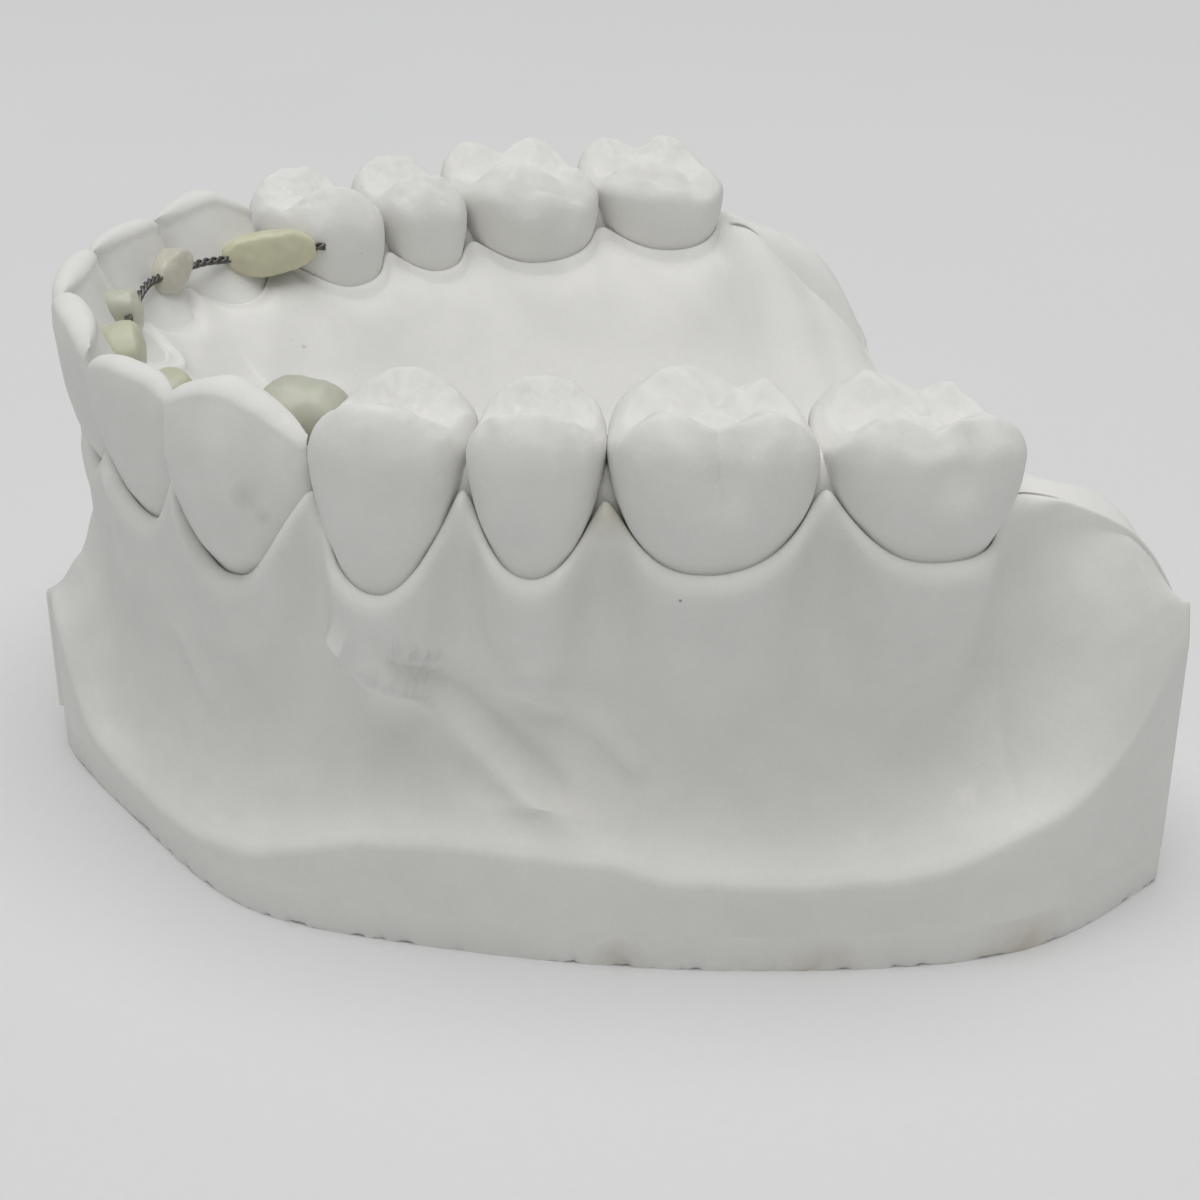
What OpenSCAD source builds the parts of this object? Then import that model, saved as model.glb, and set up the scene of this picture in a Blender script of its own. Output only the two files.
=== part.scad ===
// Upper dental study cast on a trimmed base, with a six-tooth bonded palatal retainer.
// Frame: X across the mouth, -Y to the front teeth, Z up. The flat underside lies on Z = 0.

/* [Overall] */
// Width between the outer ends of the two tooth rows
arch_width = 54.6; // [42:0.1:68]
// Front teeth to the back of the last molars
arch_depth = 44.9; // [36:0.1:56]
// Roundness of the tooth row, higher is squarer
arch_squareness = 2.35; // [2:0.05:2.8]
// Height of the biting edges above the table
bite_height = 27.3; // [24:0.1:34]

/* [Trimmed base] */
// Thickness of the separate base slab
slab_height = 2; // [1.5:0.1:3]
// Front wall in front of the midline contact of the teeth
front_margin = 2.25; // [1:0.05:5]
// Rear wall behind the last molars
rear_margin = 9.0; // [7:0.1:14]
// Side walls outside the tooth row
side_margin = 3.75; // [3:0.05:8]
// Angle of the two front cuts from straight across
front_cut = 24; // [15:0.5:32]
// Angle of the heel cuts at the rear corners
heel_cut = 57; // [48:0.5:65]
// Softness of the trimmed corners, higher is sharper
corner_sharpness = 19; // [12:1:30]
// Depth of the cheek fold inside the trimmed rim
fold_depth = 2.7; // [1:0.1:3]

/* [Gums] */
// Gum line of the front teeth above the table, on the lip side
front_neck = 18.4; // [16:0.1:20]
// Gum line of the last molars above the table, on the cheek side
rear_neck = 20.6; // [18:0.1:22]
// Palatal gum line above the table
palate_neck = 21.6; // [20:0.1:23]
// Rise of the gum points between the teeth
papilla_rise = 3.2; // [1.5:0.1:4]
// Raised roll of gum along each tooth
margin_roll = 0.5; // [0.2:0.05:0.8]
// Palate at the midline above the table
palate_floor = 8.2; // [6.5:0.1:12]
// Tuberosity crest behind the last molars
tuberosity_height = 21.2; // [19:0.1:22]

/* [Teeth] */
// Depth of the roots into the gum below the lowest gum line
root_depth = 2.4; // [1.5:0.1:3.5]
// Clearance between each tooth and its socket
seat_gap = 0.03; // [0.02:0.005:0.06]
// Gap between neighbouring crowns
contact_gap = 0.2; // [0.16:0.01:0.4]

/* [Retainer] */
// Diameter of one strand of the twisted wire
strand_d = 0.22; // [0.18:0.01:0.3]
// Length of one full twist
twist_pitch = 1.9; // [1.6:0.1:5]
// Height of the wire above the table
wire_height = 24.3; // [23.5:0.1:25]
// Length of the largest bonding pads
pad_length = 4.9; // [3.5:0.1:5.5]
// Bare wire past the last pad at each end
wire_tail = 1.3; // [0.4:0.1:1.5]

/* [Hidden] */
TEETH = 7;
EPS = 0.01;

// One row per tooth from the midline back: share of the row's length, crown depth,
// tip above the biting height, lip-side neck as a share of the way to the rear neck
share = [8.9, 7.4, 8.2, 7.4, 6.4, 9.8, 9.4];
crown_depth = [7.0, 6.4, 8.2, 9.2, 9.2, 11.2, 11.0];
tip_rise = [0.2, -0.4, 0.6, 0.2, 0.1, 0.3, -0.2];
neck_share = [0, -0.3, -0.7, 0, 0.5, 0.85, 1];
row_share = [for (i = 0, t = 0; i <= TEETH; t = t + (i < TEETH ? share[i] : 0), i = i + 1) t];
row_total = row_share[TEETH];

// ---- Tooth row: half a superellipse, walked by length -------------------------------
half_width = arch_width / 2;
function row_x(a) = half_width * pow(sin(min(a, 90)), 2 / arch_squareness);
function row_y(a) = arch_depth * (1 - cos(a));
STEPS = 120;
walk = [for (i = 0, t = 0; i <= STEPS;
    t = t + (i < STEPS ? norm([row_x(90 * (i + 1) / STEPS) - row_x(90 * i / STEPS),
                               row_y(90 * (i + 1) / STEPS) - row_y(90 * i / STEPS)]) : 0),
    i = i + 1) [t, 90 * i / STEPS]];
row_length = walk[STEPS][0];
// Teeth fill all but the last part of the curve
ROW_FILL = 0.985;
mm = row_length * ROW_FILL / row_total;
midline_y = front_margin - (front_margin + arch_depth + rear_margin) / 2;
// Point on the row at length s; past its end the row runs straight back
function row_at(s) = s <= row_length
    ? [row_x(lookup(s, walk)), midline_y + row_y(lookup(s, walk))]
    : [half_width, midline_y + arch_depth + s - row_length];
function row_dir(s) = let (d = s < 0.4 ? [1, 0] : row_at(s + 0.3) - row_at(s - 0.3)) d / norm(d);
function row_out(s) = let (d = row_dir(s)) [d[1], -d[0]];
function contact(i) = row_at(row_share[i] * mm);
function tooth_mid(i) = (contact(i) + contact(i + 1)) / 2;
function tooth_dir(i) = let (d = contact(i + 1) - contact(i)) d / norm(d);
function tooth_out(i) = let (d = tooth_dir(i)) [d[1], -d[0]];
function tooth_width(i) = norm(contact(i + 1) - contact(i)) - contact_gap;

// ---- Heights along the row ----------------------------------------------------------
function tip_z(i) = bite_height + tip_rise[i];
function neck_z(i) = front_neck + neck_share[i] * (rear_neck - front_neck);
function is_front(i) = i < 3;

// ---- Skins: rings of equal length, joined and closed --------------------------------
// Faces of a stack of rings with a point below the first and one above the last
function stack_faces(rings, n) = concat(
    [for (r = [0 : rings - 2], k = [0 : n - 1]) let (a = r * n + k, b = r * n + (k + 1) % n)
        each [[a, a + n, b + n], [a, b + n, b]]],
    [for (k = [0 : n - 1]) [rings * n, k, (k + 1) % n]],
    [for (k = [0 : n - 1]) let (t = (rings - 1) * n) [rings * n + 1, t + (k + 1) % n, t + k]]);
function middle(ring) = [for (c = [0 : 2]) let (v = [for (p = ring) p[c]])
    [for (i = 0, t = 0; i <= len(v); t = t + (i < len(v) ? v[i] : 0), i = i + 1) t][len(v)] / len(v)];
module stack_solid(rings, top) {
    n = len(rings[0]);
    points = concat([for (r = rings, p = r) p], [middle(rings[0]), top]);
    polyhedron(points, stack_faces(len(rings), n), convexity = 6);
}
// Rounded rectangle direction, used for every crown section
function squircle(a, e) = [sign(cos(a)) * pow(abs(cos(a)), 2 / e),
                           sign(sin(a)) * pow(abs(sin(a)), 2 / e)];

// ---- Crowns -------------------------------------------------------------------------
SIDES = 24;
// Back teeth: cusps [along, across, height, spread along, spread across], in shares
premolar_cusps = [[0, 0.27, 2.5, 0.26, 0.15], [-0.04, -0.27, 2.1, 0.24, 0.15]];
molar_cusps = [[-0.23, 0.28, 2.5, 0.15, 0.13], [0.2, 0.27, 2.4, 0.15, 0.13],
    [-0.17, -0.26, 2.4, 0.19, 0.15], [0.24, -0.27, 1.8, 0.13, 0.12]];
CUSP_TOP = 2.5;
MARGIN_RIDGE = 0.9;
function bump(k, x, y) = k[2] * exp(-pow((x - k[0]) / k[3], 2) / 2 - pow((y - k[1]) / k[4], 2) / 2);
function bumps(c, x, y) = max([for (k = c) bump(k, x, y)]);
// Height of the chewing surface, x and y as shares of the crown's width and depth
function chew_z(i, x, y) = let (cusps = i < 5 ? premolar_cusps : molar_cusps)
    tip_z(i) - CUSP_TOP + max(bumps(cusps, x, y), MARGIN_RIDGE * min(1, abs(x) * abs(x) * 7));
// Sections of a back tooth's side: share of the depth, height above the neck
back_side = [[0.7, -root_depth - 1], [0.84, -0.9], [0.88, 0], [0.95, 1.5], [0.99, 2.7]];
back_table = [1, 0.97, 0.92, 0.84, 0.73, 0.6, 0.46, 0.3, 0.14];
// Share of the width against the share of the crown's height; widest where the crowns meet
premolar_width = [[-0.4, 0.5], [0, 0.56], [0.15, 0.67], [0.3, 0.79], [0.45, 0.9], [0.6, 0.97], [0.74, 1]];
molar_width = [[-0.4, 0.62], [0, 0.7], [0.15, 0.79], [0.3, 0.88], [0.45, 0.95], [0.6, 0.985], [0.74, 1]];
BACK_FORM = 3.3;
CONTOUR = 3.3;
DOME = 4.6;
CONTACT_INSET = 0.1;
INNER_TAPER = 0.12;
function narrowed(q) = [q[0] * (1 - INNER_TAPER * max(0, -q[1])), q[1]];
function back_point(i, q, z, grow) = let (w = tooth_width(i), d = crown_depth[i],
    share = lookup((z - neck_z(i)) / (tip_z(i) - neck_z(i)), i < 5 ? premolar_width : molar_width),
    p = tooth_mid(i) + tooth_dir(i) * q[0] * (w / 2 * share + grow)
        + tooth_out(i) * (q[1] * (d / 2 + grow) - CONTACT_INSET * d)) [p[0], p[1], z];
back_outline = [for (k = [0 : SIDES - 1]) narrowed(squircle(-360 * k / SIDES, BACK_FORM))];
function dome_z(i, q, r) = let (low = neck_z(i) + CONTOUR, high = chew_z(i, q[0] / 2, q[1] / 2))
    low + (high - low) * pow(1 - pow(r, DOME), 1 / DOME);
function back_rings(i, grow) = concat(
    [for (s = back_side) [for (q = back_outline) back_point(i, [q[0], q[1] * s[0]], neck_z(i) + s[1], grow)]],
    [for (r = back_table) [for (q = back_outline) back_point(i, q * r, dome_z(i, q * r, r), grow)]]);
// Front teeth: share of width, lip face and palate face across, share of the height
incisor_side = [[0.56, -2.4, -5.2, -0.4], [0.72, -1.4, -6.4, -0.1], [0.77, -1.0, -6.6, 0.03],
    [0.84, -0.35, -6.3, 0.17], [0.91, 0.1, -5.1, 0.33], [0.965, 0.4, -3.8, 0.5],
    [1, 0.55, -2.6, 0.67], [0.995, 0.6, -1.65, 0.82], [0.97, 0.55, -1.05, 0.94], [0.92, 0.3, -0.7, 1]];
canine_side = [[0.56, -1.4, -4.8, -0.4], [0.72, -0.2, -6.2, -0.1], [0.78, 0.4, -6.4, 0.03],
    [0.86, 1.25, -6.1, 0.17], [0.93, 1.75, -5.1, 0.33], [0.98, 1.95, -3.7, 0.5],
    [1, 1.9, -2.4, 0.67], [0.97, 1.65, -1.3, 0.82], [0.9, 1.3, -0.4, 0.94], [0.8, 1, 0.1, 1]];
incisor_design_depth = 7;
canine_design_depth = 8.2;
// The crown is widest this far in from its lip face, and narrows behind that
WIDEST = 0.32;
FRONT_TAPER = 0.2;
function edge_drop(i, x) = i == 2 ? 2 * pow(abs(x), 1.25) : 0.25 * x * x + 0.75 * pow(abs(x), 6);
function front_ring(i, s, grow) = let (w = tooth_width(i) / 2,
    f = crown_depth[i] / (i == 2 ? canine_design_depth : incisor_design_depth),
    lip = s[1] * f + grow, palate = s[2] * f - grow, nz = neck_z(i),
    widest = blend(lip, palate, WIDEST))
    [for (k = [0 : SIDES - 1]) let (q = squircle(-360 * k / SIDES, 2.3),
        x = q[0] * s[0] * (1 - FRONT_TAPER * max(0, -q[1])),
        p = tooth_mid(i) + tooth_dir(i) * x * (w + grow)
            + tooth_out(i) * blend(widest, q[1] > 0 ? lip : palate, abs(q[1])),
        top = tip_z(i) - edge_drop(i, x))
        [p[0], p[1], nz + s[3] * (top - nz)]];
function front_rings(i, grow) = [for (s = i == 2 ? canine_side : incisor_side) front_ring(i, s, grow)];
function tooth_rings(i, grow = 0) = is_front(i) ? front_rings(i, grow) : back_rings(i, grow);
function tooth_top(i) = let (r = tooth_rings(i), m = middle(r[len(r) - 1]))
    [m[0], m[1], is_front(i) ? tip_z(i) - EPS : chew_z(i, 0, 0)];
module tooth(i) stack_solid(tooth_rings(i), tooth_top(i));
// The socket is the buried part of the tooth, a clearance larger, and open upwards
SOCKET_RINGS = 7;
module socket(i) hull() {
    rings = tooth_rings(i, seat_gap);
    lift = [0, 0, 4];
    for (r = [0 : SOCKET_RINGS - 1])
        stack_solid([rings[r], [for (p = rings[r]) p + (r == SOCKET_RINGS - 1 ? lift : [0, 0, EPS])]],
            middle(rings[r]) + (r == SOCKET_RINGS - 1 ? lift : [0, 0, EPS]));
}

// ---- Outline of the trimmed base ----------------------------------------------------
// Polar angle runs from the front round to the rear; each cut is a direction and a distance
HUB_SHARE = 0.58;
hub_y = midline_y + arch_depth * HUB_SHARE;
front_reach = hub_y - midline_y + front_margin;
side_reach = half_width + side_margin;
// Directions of the two side cuts, and the distances of all four as shares of a reach
SIDE_CUTS = [63.3, 82];
CUT_SHARES = [1.028, 0.909, 1, 1.247];
cuts = [[front_cut, front_reach * cos(front_cut) * CUT_SHARES[0]],
    [SIDE_CUTS[0], side_reach * CUT_SHARES[1]],
    [SIDE_CUTS[1], side_reach * CUT_SHARES[2]],
    [180 - heel_cut, side_reach * CUT_SHARES[3]]];
function cut_sum(a) = let (e = [sin(a), -cos(a)]) [for (c = cuts, m = [-1, 1])
    pow(max(0, e * [m * sin(c[0]), -cos(c[0])]) / c[1], corner_sharpness)];
function total(v) = [for (i = 0, t = 0; i <= len(v); t = t + (i < len(v) ? v[i] : 0), i = i + 1) t][len(v)];
function reach(a) = pow(total(cut_sum(a)), -1 / corner_sharpness);
rear_y = midline_y + arch_depth + rear_margin;
front_y = midline_y - front_margin;
function wall_at(a) = let (r = reach(a), p = [r * sin(a), hub_y - r * cos(a)])
    [p[0], max(p[1], front_y)];
// Polar angle of the rear corner, found by halving
function corner(lo, hi, n) = let (m = (lo + hi) / 2) n == 0 ? m
    : wall_at(m)[1] < rear_y ? corner(m, hi, n - 1) : corner(lo, m, n - 1);
corner_angle = corner(100, 170, 24);

// ---- Gum sheet: columns along the row, rows from the wall to the midline -------------
TOOTH_COLUMNS = 6;
TAIL_COLUMNS = 7;
columns = TEETH * TOOTH_COLUMNS + TAIL_COLUMNS;
row_end = row_share[TEETH] * mm;
tail_length = rear_y - row_at(row_end)[1];
// Length along the row of a column
function column_s(i) = i <= TEETH * TOOTH_COLUMNS
    ? let (t = floor(i / TOOTH_COLUMNS), f = i / TOOTH_COLUMNS - t, n = min(t, TEETH - 1))
        (row_share[n] + (t > n ? 1 : f) * share[n]) * mm
    : row_end + tail_length * (i - TEETH * TOOTH_COLUMNS) / TAIL_COLUMNS;
// Place in a tooth: 0 at its middle, 1 at its contacts, and the tooth's number
function tooth_of(i) = min(TEETH - 1, floor(i / TOOTH_COLUMNS));
function spread(i) = i >= TEETH * TOOTH_COLUMNS ? 1
    : abs(2 * (i / TOOTH_COLUMNS - floor(i / TOOTH_COLUMNS)) - 1);
function tail(i) = max(0, (i - TEETH * TOOTH_COLUMNS) / TAIL_COLUMNS);
function blend(a, b, t) = a + (b - a) * t;
function smooth(t) = t * t * (3 - 2 * t);
// Polar angle of a column's wall point, taken from a place this far outside the row
WALL_PROBE = 5;
function column_angle(i) = let (s = column_s(i), p = row_at(s) + row_out(s) * WALL_PROBE,
    a = atan2(p[0], hub_y - p[1])) i == columns ? corner_angle : min(a, corner_angle);
// Top edge of the wall against polar angle: frenum, front, cheek, rear corner
rim_line = [[0, 9.4], [5, 8], [10, 4.6], [15, 2.8], [29, 2.5], [40, 2.7], [48, 3.5], [55, 4.5],
    [63, 5.7], [75, 6.1], [86, 5.7], [93, 5.1], [100, 4.8], [107, 5], [113, 5.6], [118, 6.5],
    [123, 7.6], [127, 8.9], [130, 10.4], [132, 12], [135, 13.8]];
RIM_END = 135;
function rim_z(i) = lookup(column_angle(i) * RIM_END / corner_angle, rim_line);
// Half depth of the gum opening on the lip or cheek side and on the palate side
lip_half = [-1, -0.9, 0.6, 3.2, 3.2, 3.9, 3.9];
palate_half = [6.7, 6.1, 6.6, 5.1, 5.1, 6.3, 6.2];
function half_at(v, i) = let (t = tooth_of(i), f = i / TOOTH_COLUMNS - t,
    n = f < 0.5 ? max(0, t - 1) : min(TEETH - 1, t + 1), w = abs(f - 0.5))
    blend(v[t], v[n], w);
// Behind the last tooth the heights ease from the gum to the crest, then round over the rear edge
SCALLOP = 2.2;
REAR_ROUND = 4.2;
REAR_DROP = 6.6;
MIDLINE_PAPILLA = 0.4;
SIDE_PAPILLA = 0.95;
function tail_rise(i) = smooth(min(1, tail(i) * 1.6));
function rear_drop(i) = REAR_DROP * pow(tail(i), REAR_ROUND);
function lip_neck(i) = let (t = tooth_of(i)) tail(i) > 0
    ? blend(neck_z(TEETH - 1) + papilla_rise * 0.3, tuberosity_height - 0.3, tail_rise(i)) - rear_drop(i)
    : neck_z(t) + papilla_rise * (i < TOOTH_COLUMNS / 2 ? MIDLINE_PAPILLA : SIDE_PAPILLA)
        * pow(spread(i), SCALLOP);
function inner_neck(i) = tail(i) > 0
    ? blend(palate_neck, tuberosity_height - 1.6, tail_rise(i)) - REAR_DROP * pow(tail(i), 2.5)
    : palate_neck + 0.5 * papilla_rise * pow(spread(i), SCALLOP);
function crest_z(i) = tail(i) > 0
    ? blend(neck_z(TEETH - 1) + 1, tuberosity_height + 0.2, tail_rise(i)) - rear_drop(i)
    : max(lip_neck(i), inner_neck(i) - 0.6);
// Hollow of the cheek fold: share of the height from the rim to the gum line, share of its depth,
// and how deep it is along the row, from the midline (0) past the row's end (1)
fold_profile = [[0, 0], [0.03, 0.3], [0.08, 0.62], [0.16, 0.86], [0.28, 1], [0.42, 0.96], [0.6, 0.72],
    [0.8, 0.32], [1, 0]];
fold_along = [[0, 0], [0.06, 0.3], [0.2, 0.48], [0.36, 0.63], [0.52, 0.85], [0.72, 1], [0.88, 0.93], [0.98, 0.6],
    [1.08, 0]];
function hollow(i, up) = fold_depth * lookup(up, fold_profile) * lookup(column_s(i) / row_length, fold_along)
    * (1 - min(1, tail(i) * 1.5));
// Outer face: share of the way in from the wall, share of the way up from the rim
outer_rows = [[0, 0], [0.12, 0.03], [0.3, 0.1], [0.5, 0.24], [0.66, 0.42], [0.79, 0.62],
    [0.88, 0.8], [0.9, 0.9], [0.93, 0.97]];
// Palate: share of the way to the midline, share of the way down
palate_rows = [[0.03, -0.02], [0.1, 0.06], [0.2, 0.24], [0.32, 0.46], [0.46, 0.67], [0.62, 0.84],
    [0.8, 0.96], [1, 1]];
PALATE_FRONT = 9;
vault = [[0, 0], [0.08, 0.22], [0.18, 0.5], [0.3, 0.76], [0.42, 0.91], [0.55, 0.98], [0.7, 1], [1, 1]];
function midline_point(i) = let (f = i / columns)
    [0, blend(midline_y + PALATE_FRONT, rear_y, pow(f, 1.15)),
        blend(palate_neck - 0.8, palate_floor, lookup(f, vault))];
function rear_plane(p, i) = i == columns ? [p[0], rear_y, p[2]] : p;
// Behind the last tooth the gum's two margins run to places on the rear wall
LIP_INSET = 0.9;
INNER_INSET = 8;
corner_x = wall_at(corner_angle)[0];
function lip_point(i) = let (s = column_s(i), p = row_at(s)) tail(i) > 0
    ? [blend(half_width + lip_half[TEETH - 1], corner_x - LIP_INSET, smooth(min(1, tail(i) * 2))), p[1]]
    : p + row_out(s) * half_at(lip_half, i);
function inner_point(i) = let (s = column_s(i), p = row_at(s)) tail(i) > 0
    ? [blend(half_width - palate_half[TEETH - 1], corner_x - INNER_INSET, tail(i)), p[1]]
    : p - row_out(s) * half_at(palate_half, i);
// Rows of one column, from the wall over the gum to the midline
function outer_part(i, wall, lip, o) = let (edge = lip + o * margin_roll * 0.6 * (1 - min(1, tail(i) * 3)))
    [for (q = outer_rows) let (up = blend(q[1], sin(90 * q[0]), min(1, tail(i) * 1.5)),
        b = blend(wall, edge, q[0]) - o * hollow(i, up))
        [b[0], b[1], blend(rim_z(i), lip_neck(i), up)]];
function palate_part(i, inner, m) = let (z = inner_neck(i))
    [for (q = palate_rows) let (b = blend(inner, [m[0], m[1]], q[0]), fade = max(0, 1 - q[0] * 5))
        [b[0], b[1], blend(blend(min(z, palate_neck), z, fade), m[2], q[1])]];
function column(i) = let (o = row_out(column_s(i)), lip = lip_point(i), inner = inner_point(i),
    wall = i == 0 ? [0, front_y] : wall_at(column_angle(i)),
    points = concat(outer_part(i, wall, lip, o), [[lip[0], lip[1], lip_neck(i)]],
        [for (t = [0.3, 0.7]) let (b = blend(lip, inner, t)) [b[0], b[1], crest_z(i) + 0.2]],
        [[inner[0], inner[1], inner_neck(i)]], palate_part(i, inner, midline_point(i))))
    [for (r = points) rear_plane(i == 0 ? [0, r[1], r[2]] : r, i)];
rows = len(outer_rows) + 4 + len(palate_rows);
// Right half, then its mirror image; both halves share nothing but their positions
sheet = [for (i = [0 : columns]) column(i)];
footprint = concat([for (i = [0 : columns]) [sheet[i][0][0], sheet[i][0][1]]],
    [for (j = [1 : rows - 1]) [sheet[columns][j][0], sheet[columns][j][1]]]);
full_outline = concat(footprint, [for (k = [len(footprint) - 2 : -1 : 1])
    [-footprint[k][0], footprint[k][1]]]);

module plaster_base() color("gainsboro") linear_extrude(slab_height) polygon(full_outline);

// Half the gum, closed on the midline plane, as top sheet, bottom sheet and edge walls
module gum_half() {
    top = [for (c = sheet, p = c) p];
    function at(i, j) = i * rows + j;
    quads = [for (i = [0 : columns - 1], j = [0 : rows - 2])
        [at(i, j), at(i + 1, j), at(i + 1, j + 1), at(i, j + 1)]];
    edge = concat([for (i = [0 : columns]) at(i, 0)], [for (j = [1 : rows - 1]) at(columns, j)],
        [for (i = [columns - 1 : -1 : 0]) at(i, rows - 1)], [for (j = [rows - 2 : -1 : 1]) at(0, j)]);
    n = len(edge);
    count = len(top);
    bottom = [for (k = edge) [top[k][0], top[k][1], slab_height]];
    polyhedron(concat(top, bottom, [[half_width / 2, hub_y, slab_height]]), concat(
        [for (q = quads) each [[q[0], q[3], q[2]], [q[0], q[2], q[1]]]],
        [for (k = [0 : n - 1]) let (a = edge[k], b = edge[(k + 1) % n], c = count + k,
            d = count + (k + 1) % n) each [[a, b, d], [a, d, c], [d, count + n, c]]]), convexity = 10);
}
module gum_and_palate() color("whitesmoke") difference() {
    union() {
        gum_half();
        mirror([1, 0, 0]) gum_half();
    }
    for (i = [0 : TEETH - 1]) {
        socket(i);
        mirror([1, 0, 0]) socket(i);
    }
}

// ---- Twisted wire --------------------------------------------------------------------
STRANDS = 3;
STRAND_SIDES = 5;
STEPS_PER_TWIST = 6;
WIRE_GAP = 0.12;
STRAND_GAP = 0.012;
// Three round strands touch at this radius; leaning over in the twist, they need a little more
strand_lean = atan(PI * strand_d / cos(30) / twist_pitch);
helix_r = strand_d / 2 / cos(30) / cos(strand_lean) + STRAND_GAP;
bundle_r = helix_r + strand_d / 2;
// Palate face of a front tooth at the wire's height, as the lookup of its section table
function palate_face(i) = let (side = i == 2 ? canine_side : incisor_side,
    f = crown_depth[i] / (i == 2 ? canine_design_depth : incisor_design_depth))
    -f * lookup((wire_height - neck_z(i)) / (tip_z(i) - neck_z(i)), [for (r = side) [r[3], r[2]]]);
function mid_s(i) = (row_share[i] + share[i] / 2) * mm;
function sag(i) = norm(row_at(mid_s(i)) - tooth_mid(i));
function clear_of(i, face) = face + sag(i) + bundle_r + WIRE_GAP;
PREMOLAR_SPARE = 0.35;
premolar_clear = clear_of(3, crown_depth[3] * (0.5 + CONTACT_INSET)) + PREMOLAR_SPARE;
// Past the canine the wire moves over to the first premolar's palate side
wire_offsets = concat([for (i = [0 : 2]) [mid_s(i), clear_of(i, palate_face(i))]],
    [[row_share[3] * mm, blend(clear_of(2, palate_face(2)), premolar_clear, 0.6)],
     [mid_s(3), premolar_clear]]);
CANINE_PAD_SHARE = 0.7;
canine_pad_s = (row_share[2] + share[2] * CANINE_PAD_SHARE) * mm;
wire_end = canine_pad_s + pad_length / 2 + wire_tail;
// Wire path by signed length from the midline, positive to the right
function wire_at(s) = let (a = abs(s), p = row_at(a) - row_out(a) * lookup(a, wire_offsets))
    [sign(s) * p[0], p[1], wire_height];
function wire_dir(s) = let (d = wire_at(s + 0.2) - wire_at(s - 0.2)) d / norm(d);
function strand_at(k, s) = let (t = wire_dir(s), a = 360 * s / twist_pitch + 360 * k / STRANDS)
    wire_at(s) + helix_r * (cos(a) * [t[1], -t[0], 0] + sin(a) * [0, 0, 1]);
function strand_ring(k, s) = let (d = strand_at(k, s + 0.05) - strand_at(k, s - 0.05), t = d / norm(d),
    u = cross([0, 0, 1], t) / norm(cross([0, 0, 1], t)), v = cross(t, u))
    [for (j = [0 : STRAND_SIDES - 1]) let (a = 360 * j / STRAND_SIDES)
        strand_at(k, s) + strand_d / 2 * (cos(a) * u + sin(a) * v)];
module strand(k) {
    n = ceil(2 * wire_end / twist_pitch * STEPS_PER_TWIST);
    stack_solid([for (i = [0 : n]) strand_ring(k, wire_end * (2 * i / n - 1))], strand_at(k, wire_end));
}

// ---- Bonding pads --------------------------------------------------------------------
PAD_SIDES = 12;
PAD_RINGS = 6;
TUNNEL_STEPS = 9;
// Centre along the row, half length, half height, thickness over the wire
pads = [[mid_s(0) * 0.95, pad_length * 0.37, 1.4, 0.45], [mid_s(1) * 1.04, pad_length * 0.38, 1.4, 0.45],
    [canine_pad_s, pad_length / 2, 1.6, 0.55]];
PAD_DEPTH = 2.4;
TUNNEL_GAP = 0.06;
TUNNEL_SIDES = 10;
module pad(i) {
    p = pads[i];
    difference() {
        stack_solid([for (r = [1 : PAD_RINGS]) let (t = -cos(180 * r / (PAD_RINGS + 1)),
            s = p[0] + p[1] * t, w = wire_at(s), d = wire_dir(s), o = [d[1], -d[0], 0],
            size = sqrt(1 - t * t))
            [for (k = [0 : PAD_SIDES - 1]) let (a = -360 * k / PAD_SIDES, c = cos(a))
                w + o * (c > 0 ? c * PAD_DEPTH : c * (p[3] + bundle_r)) * size
                    + [0, 0, sin(a) * p[2] * size]]], wire_at(p[0] + p[1]));
        for (t = [0 : TUNNEL_STEPS - 1]) hull() for (e = [t, t + 1])
            translate(wire_at(p[0] + (p[1] + 0.5) * (2 * e / TUNNEL_STEPS - 1)))
                sphere(bundle_r + TUNNEL_GAP, $fn = TUNNEL_SIDES);
        for (t = i == 2 ? [2, 3] : [i]) stack_solid(tooth_rings(t, seat_gap), tooth_top(t));
    }
}

module right_central_incisor() color("ivory") tooth(0);
module right_lateral_incisor() color("ivory") tooth(1);
module right_canine() color("ivory") tooth(2);
module right_first_premolar() color("ivory") tooth(3);
module right_second_premolar() color("ivory") tooth(4);
module right_first_molar() color("ivory") tooth(5);
module right_second_molar() color("ivory") tooth(6);
module left_central_incisor() color("ivory") mirror([1, 0, 0]) tooth(0);
module left_lateral_incisor() color("ivory") mirror([1, 0, 0]) tooth(1);
module left_canine() color("ivory") mirror([1, 0, 0]) tooth(2);
module left_first_premolar() color("ivory") mirror([1, 0, 0]) tooth(3);
module left_second_premolar() color("ivory") mirror([1, 0, 0]) tooth(4);
module left_first_molar() color("ivory") mirror([1, 0, 0]) tooth(5);
module left_second_molar() color("ivory") mirror([1, 0, 0]) tooth(6);
module retainer_strand_1() color("dimgray") strand(0);
module retainer_strand_2() color("dimgray") strand(1);
module retainer_strand_3() color("dimgray") strand(2);
module right_canine_pad() color("khaki") pad(2);
module right_lateral_pad() color("khaki") pad(1);
module right_central_pad() color("khaki") pad(0);
module left_canine_pad() color("khaki") mirror([1, 0, 0]) pad(2);
module left_lateral_pad() color("khaki") mirror([1, 0, 0]) pad(1);
module left_central_pad() color("khaki") mirror([1, 0, 0]) pad(0);

plaster_base();
gum_and_palate();
right_central_incisor();
right_lateral_incisor();
right_canine();
right_first_premolar();
right_second_premolar();
right_first_molar();
right_second_molar();
left_central_incisor();
left_lateral_incisor();
left_canine();
left_first_premolar();
left_second_premolar();
left_first_molar();
left_second_molar();
retainer_strand_1();
retainer_strand_2();
retainer_strand_3();
right_canine_pad();
right_lateral_pad();
right_central_pad();
left_central_pad();
left_lateral_pad();
left_canine_pad();
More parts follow.
